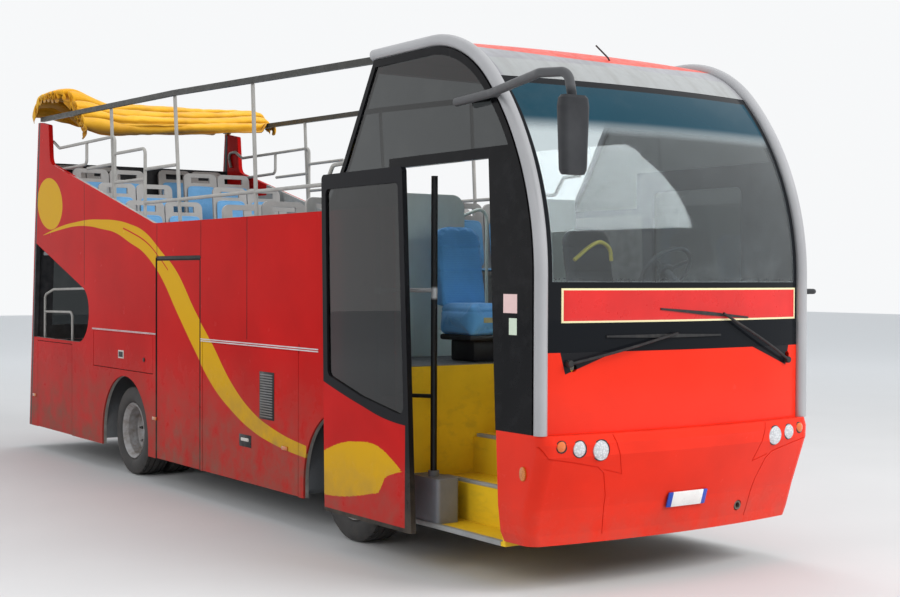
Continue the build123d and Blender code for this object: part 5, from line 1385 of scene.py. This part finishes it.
class BUS_OT_entry(bpy.types.Operator):
    """Nosings on the entry steps, the lever beside the drive box and the stickers on the black panel"""
    bl_idname = "bus.entry"
    bl_label = "Entry"

    def execute(self, context):
        strip = floor_sheet("nosing_grey", (0.32, 0.33, 0.33), (0.55, 0.55, 0.53))
        near, far = (x_of(station) for station in NOSING_ENDS)
        first = from_right("cab_floor", 1.0, 0.305).y
        rows = [((near, first + depth - 0.004, height - 0.030), (far, first + depth + 0.035, height + 0.003),
                 0.002) for depth, height in STEP_EDGES]
        platform = from_right("cab_floor", 1.0, 1.427).y
        rows.append(((near, platform - 0.005, 1.385), (far, platform + 0.045, 1.433), 0.003))
        boxes("step_nosings", rows, strip)
        for name, station, height, long, high, colour in STICKERS:
            face = from_right("cab_sides", station, height).y
            row = ((x_of(station + long / 2), face - 0.0012, height - high / 2),
                   (x_of(station - long / 2), face + 0.0006, height + high / 2), 0.0005, 1)
            boxes(name, [row], laminate(name + "_film", colour))
        black = black_gloss("lever_black", (0.015, 0.015, 0.016), 0.3)
        pipe("drive_lever", [(x_of(LEVER_STATION), y, z) for y, z in LEVER], 0.009, black, 0.03)
        return {"FINISHED"}


# Side trim

# Strips along each side: rear and front end, height, how far its two beads lie off it, and a bead's height
STRIP_REAR = {"right": 5.15, "left": 6.2}
STRIPS = ((None, 2.9, 1.4885, 0.009, 0.010), (7.98, 6.215, 1.5045, 0.0045, 0.006))
# Pieces on the flaps: name, flap, finish, slot, plates and round knobs
SLATS = tuple((3.80, 0.88 + count * 0.0225, 0.225, 0.012, 0.010, 0.003, -0.003) for count in range(17))
FLAP_PIECES = (
    ("vent_frame_", "locker_flap_", "black", "gloss_black", ((3.80, 1.06, 0.27, 0.41, 0.004, 0.004),), ()),
    ("vent_slats_", "locker_flap_", "grey", "chassis_black", SLATS, ()),
    ("latch_recess_", "locker_flap_", "black", "gloss_black", ((4.213, 0.634, 0.232, 0.108, 0.003, 0.010),),
     ()),
    ("latch_handle_", "locker_flap_", "pale", "silver", ((4.213, 0.645, 0.15, 0.03, 0.010, 0.006),), ()),
    ("arch_latch_frame_", "arch_flap_", "pale", "silver", ((7.137, 1.259, 0.15, 0.085, 0.003, 0.008),), ()),
    ("arch_latches_", "arch_flap_", "black", "gloss_black", ((7.137, 1.259, 0.12, 0.058, 0.0045, 0.006),),
     ((6.512, 1.232),)),
)
# Orange marker lamps low on the sides: station, height, body and name
MARKERS = ((3.464, 0.644, "locker_flap_", "front"), (6.235, 0.66, "bus_body", "middle"),
           (9.92, 0.636, "bus_body", "rear"))
SIDES = (("right", -1), ("left", 1))


def side_plate(bm, side, station, z, long, high, thick, radius, sunk=0.002):
    """A small flat piece on the side, its middle at a station and a height."""
    outer = side * (SIDE_Y + thick)
    inner = side * (SIDE_Y - sunk)
    lo = (x_of(station + long / 2), min(outer, inner), z - high / 2)
    hi = (x_of(station - long / 2), max(outer, inner), z + high / 2)
    rounded_box(bm, lo, hi, radius)


class BUS_OT_side_trim(bpy.types.Operator):
    """Strips, vent, latches, locks and marker lamps of the sides"""
    bl_idname = "bus.side_trim"
    bl_label = "Side trim"

    def execute(self, context):
        silver = tube_white("strip_silver", (0.62, 0.62, 0.63))
        finishes = {"black": black_gloss("latch_black", (0.015, 0.015, 0.016), 0.3),
                    "pale": tube_white("latch_frame", (0.62, 0.60, 0.56)),
                    "grey": chassis_paint("vent_grey", (0.20, 0.21, 0.22))}
        for word, side in SIDES:
            bm = bmesh.new()
            for rear, front, z, off, high in STRIPS:
                rear = rear or STRIP_REAR[word]
                for drop in (off, -off):
                    side_plate(bm, side, (rear + front) / 2, z + drop, rear - front, high, 0.004, 0.002)
            new_piece(bm, "side_strips_" + word, silver, "bus_body")
            for name, flap, finish, slot, plates, knobs in FLAP_PIECES:
                bm = bmesh.new()
                for plate in plates:
                    side_plate(bm, side, *plate)
                for station, z in knobs:
                    round_plate(bm, (x_of(station), side * (SIDE_Y + 0.002), z), 0.022, 0.010)
                new_piece(bm, name + word, finishes[finish], flap + word)
        seal = ((x_of(DOOR_EDGE[1] + 0.01), -1.244, DOOR_TOP - 0.002),
                (x_of(DOOR_EDGE[0] - 0.01), -1.222, DOOR_TOP + 0.062), 0.004)
        boxes("middle_door_head_seal", [seal], plain_rubber())
        lens = small_lens("marker_lens", (0.80, 0.22, 0.01), 0.2, (0.85, 0.28, 0.01), (0.45, 0.10, 0.0),
                          220.0, 0.8)
        for station, z, body, name in MARKERS:
            for word, side in SIDES:
                bm = bmesh.new()
                side_plate(bm, side, station, z, 0.10, 0.036, 0.012, 0.006)
                owner = body + word if body.endswith("_") else body
                new_piece(bm, "marker_" + name + "_" + word, lens, owner)
        return {"FINISHED"}


# Finishes of the solids


class BUS_OT_finishes(bpy.types.Operator):
    """Give every solid that stays its paint, glass, plastic or metal"""
    bl_idname = "bus.finishes"
    bl_label = "Finishes of the solids"

    def execute(self, context):
        colours = context.scene.bus_colours
        shell = moulded("seat_shell_plastic", tuple(colours.shell_grey), 0.42, 260.0, 0.0002)
        finishes = (
            (shaded_side_paint(colours), "side_right side_left mid_door rear_locker_door arch_flap_left "
                                  "arch_flap_right locker_flap_left locker_flap_right"),
            (rear_paint(colours), "rear_wall engine_lid"),
            (sunlit_front_paint(colours), "front_mask bumper"),
            (chassis_paint("chassis_black", (0.025, 0.025, 0.028)), "chassis_frame front_axle rear_axle "
                                                                    "knuckle_left knuckle_right fuel_tank"),
            (chassis_paint("engine_cast", (0.10, 0.10, 0.10)), "engine_block"),
            (wheel_paint(colours), "rim_front_left rim_front_right rims_rear_left rims_rear_right"),
            (black_gloss("cab_black", (0.005, 0.005, 0.006), 0.08, (0.18, 0.19, 0.20), 0.1), "cab_sides"),
            (screen_glass(colours), "windscreen"),
            (safety_glass("side_glass_tint", (0.040, 0.044, 0.045)), "side_glass front_door_glass"),
            (hoop_paint(colours), "front_hoops"),
            (roof_paint(colours), "cab_roof"),
            (moulded("dash_plastic", (0.13, 0.14, 0.15), 0.6), "dashboard"),
            (entry_cover(colours), "cab_floor"),
            (laminate("pale_panel", (0.76, 0.90, 0.84)), "partition"),
            (floor_sheet("lower_floor_sheet", (0.16, 0.17, 0.18)), "lower_floor"),
            (laminate("stair_panel", (0.52, 0.52, 0.50)), "stairwell"),
            (floor_sheet("deck_floor_sheet", (0.20, 0.21, 0.22)), "upper_deck"),
            (shell, "deck_seats"),
            (tube_white("rail_paint", tuple(colours.rail_white)), "side_rails"),
            (tube_white("roof_rail_dark", (0.050, 0.050, 0.046), (0.12, 0.11, 0.095)), "roof_rails"),
            (mirror_plastic(), "mirrors"),
            (arm_metal(), "door_arm"),
            (leaf_paint(colours), "front_door"),
            (moulded("drive_cover", (0.20, 0.21, 0.23), 0.5), "door_drive"),
            (lamp_lens(), "lamps"),
        )
        for material, nodes in finishes:
            for node in nodes.split():
                for place in NODES[node].material_slots:
                    place.material = material
        return {"FINISHED"}


# Stage

# The camera: place, lens, and its turn, dip and roll in degrees
CAMERA_PLACE = (11.973, -6.855, 2.096)
CAMERA_LENS = 56.90
CAMERA_ANGLES = (34.4635, 0.9138, 0.2133)


class BUS_OT_stage(bpy.types.Operator):
    """Pale floor, soft lamps and the camera at the photograph's place"""
    bl_idname = "bus.stage"
    bl_label = "Stage"

    def execute(self, context):
        settings = context.scene.bus_stage
        scene = context.scene
        bm = bmesh.new()
        bmesh.ops.create_grid(bm, x_segments=2, y_segments=2, size=60.0)
        mesh = bpy.data.meshes.new("studio_floor")
        bm.to_mesh(mesh)
        bm.free()
        floor = bpy.data.objects.new("studio_floor", mesh)
        grey = Finish("floor_pale", (settings.floor_grey,) * 3, 0.8)
        away = grey.sum("SQRT", grey.plus(grey.square(grey.x), grey.square(grey.y)))
        far = grey.ramp(away, 7.0, 24.0, 0.0, 1.0, True)
        grey.put(base=grey.mix(far, grey.varied(0.02, 0.6), (0.96, 0.97, 0.98)))
        mesh.materials.append(grey.material)
        scene.collection.objects.link(floor)
        self.lamp("key_lamp", (16.0, 7.0, 11.0), (3.0, 0.0, 1.5), 9.0, settings.key)
        self.lamp("fill_lamp", (4.0, -16.0, 9.0), (0.0, 0.0, 1.6), 10.0, settings.fill)
        self.lamp("top_lamp", (-4.0, 2.0, 14.0), (-1.0, 0.0, 2.0), 10.0, settings.fill)
        scene.world = self.world(settings)
        scene.view_settings.view_transform = "Standard"
        scene.camera = self.camera(scene)
        return {"FINISHED"}

    def world(self, settings):
        """Even light, with a white background that the camera, shiny faces and glass see."""
        world = bpy.data.worlds.new("studio")
        world.use_nodes = True
        tree = world.node_tree
        light = tree.nodes["Background"]
        light.inputs["Color"].default_value = (0.92, 0.96, 1.0, 1.0)
        light.inputs["Strength"].default_value = settings.sky
        seen = tree.nodes.new("ShaderNodeBackground")
        seen.inputs["Color"].default_value = (0.93, 0.94, 0.95, 1.0)
        path = tree.nodes.new("ShaderNodeLightPath")
        share = path.outputs["Is Camera Ray"]
        for ray in ("Is Glossy Ray", "Is Transmission Ray"):
            either = tree.nodes.new("ShaderNodeMath")
            either.operation = "MAXIMUM"
            tree.links.new(share, either.inputs[0])
            tree.links.new(path.outputs[ray], either.inputs[1])
            share = either.outputs[0]
        mix = tree.nodes.new("ShaderNodeMixShader")
        for socket, value in zip(mix.inputs, (share, light.outputs[0], seen.outputs[0])):
            tree.links.new(value, socket)
        tree.links.new(mix.outputs[0], tree.nodes["World Output"].inputs["Surface"])
        return world

    def lamp(self, name, place, target, size, power):
        data = bpy.data.lights.new(name, "AREA")
        data.shape = "SQUARE"
        data.size = size
        data.energy = power
        lamp = bpy.data.objects.new(name, data)
        bpy.context.scene.collection.objects.link(lamp)
        lamp.location = place
        lamp.visible_glossy = False
        lamp.rotation_euler = (Vector(target) - Vector(place)).to_track_quat("-Z", "Y").to_euler()

    def camera(self, scene):
        yaw, pitch, roll = (math.radians(angle) for angle in CAMERA_ANGLES)
        ahead = Vector((-math.cos(yaw) * math.cos(pitch), math.sin(yaw) * math.cos(pitch), -math.sin(pitch)))
        right = ahead.cross(Vector((0, 0, 1))).normalized()
        up = right.cross(ahead)
        level = math.cos(roll) * right + math.sin(roll) * up
        upright = -math.sin(roll) * right + math.cos(roll) * up
        data = bpy.data.cameras.new("photo_camera")
        data.lens = CAMERA_LENS
        data.sensor_width = 36.0
        data.sensor_fit = "HORIZONTAL"
        data.clip_end = 300.0
        camera = bpy.data.objects.new("photo_camera", data)
        scene.collection.objects.link(camera)
        camera.matrix_world = frame_at(CAMERA_PLACE, level, upright, -ahead)
        return camera


# Add-on

STEPS = ("bus.finishes", "bus.tyres", "bus.deck_seats", "bus.crew_seats", "bus.canopy", "bus.front_trim",
         "bus.entry", "bus.side_trim", "bus.stage")
GROUPS = {"bus_colours": BusColours, "bus_tyres": BusTyres, "bus_seats": BusSeats, "bus_canopy": BusCanopy,
          "bus_stage": BusStage}


class BUS_PT_panel(bpy.types.Panel):
    """Lists the steps that dress the bus"""
    bl_idname = "BUS_PT_panel"
    bl_label = "Open top bus"
    bl_space_type = "VIEW_3D"
    bl_region_type = "UI"
    bl_category = "Bus"

    def draw(self, context):
        for step in STEPS:
            self.layout.operator(step)
        for group in GROUPS:
            holder = getattr(context.scene, group)
            box = self.layout.box()
            for name in holder.__annotations__:
                box.prop(holder, name)


CLASSES = (*GROUPS.values(), BUS_OT_finishes, BUS_OT_tyres, BUS_OT_deck_seats, BUS_OT_crew_seats, BUS_OT_canopy,
           BUS_OT_front_trim, BUS_OT_entry, BUS_OT_side_trim, BUS_OT_stage, BUS_PT_panel)


def register():
    for cls in CLASSES:
        bpy.utils.register_class(cls)
    for name, group in GROUPS.items():
        setattr(bpy.types.Scene, name, PointerProperty(type=group))


def unregister():
    for name in GROUPS:
        delattr(bpy.types.Scene, name)
    for cls in reversed(CLASSES):
        bpy.utils.unregister_class(cls)


def main():
    register()
    for step in STEPS:
        group, name = step.split(".")
        getattr(getattr(bpy.ops, group), name)()


if __name__ == "__main__":
    main()
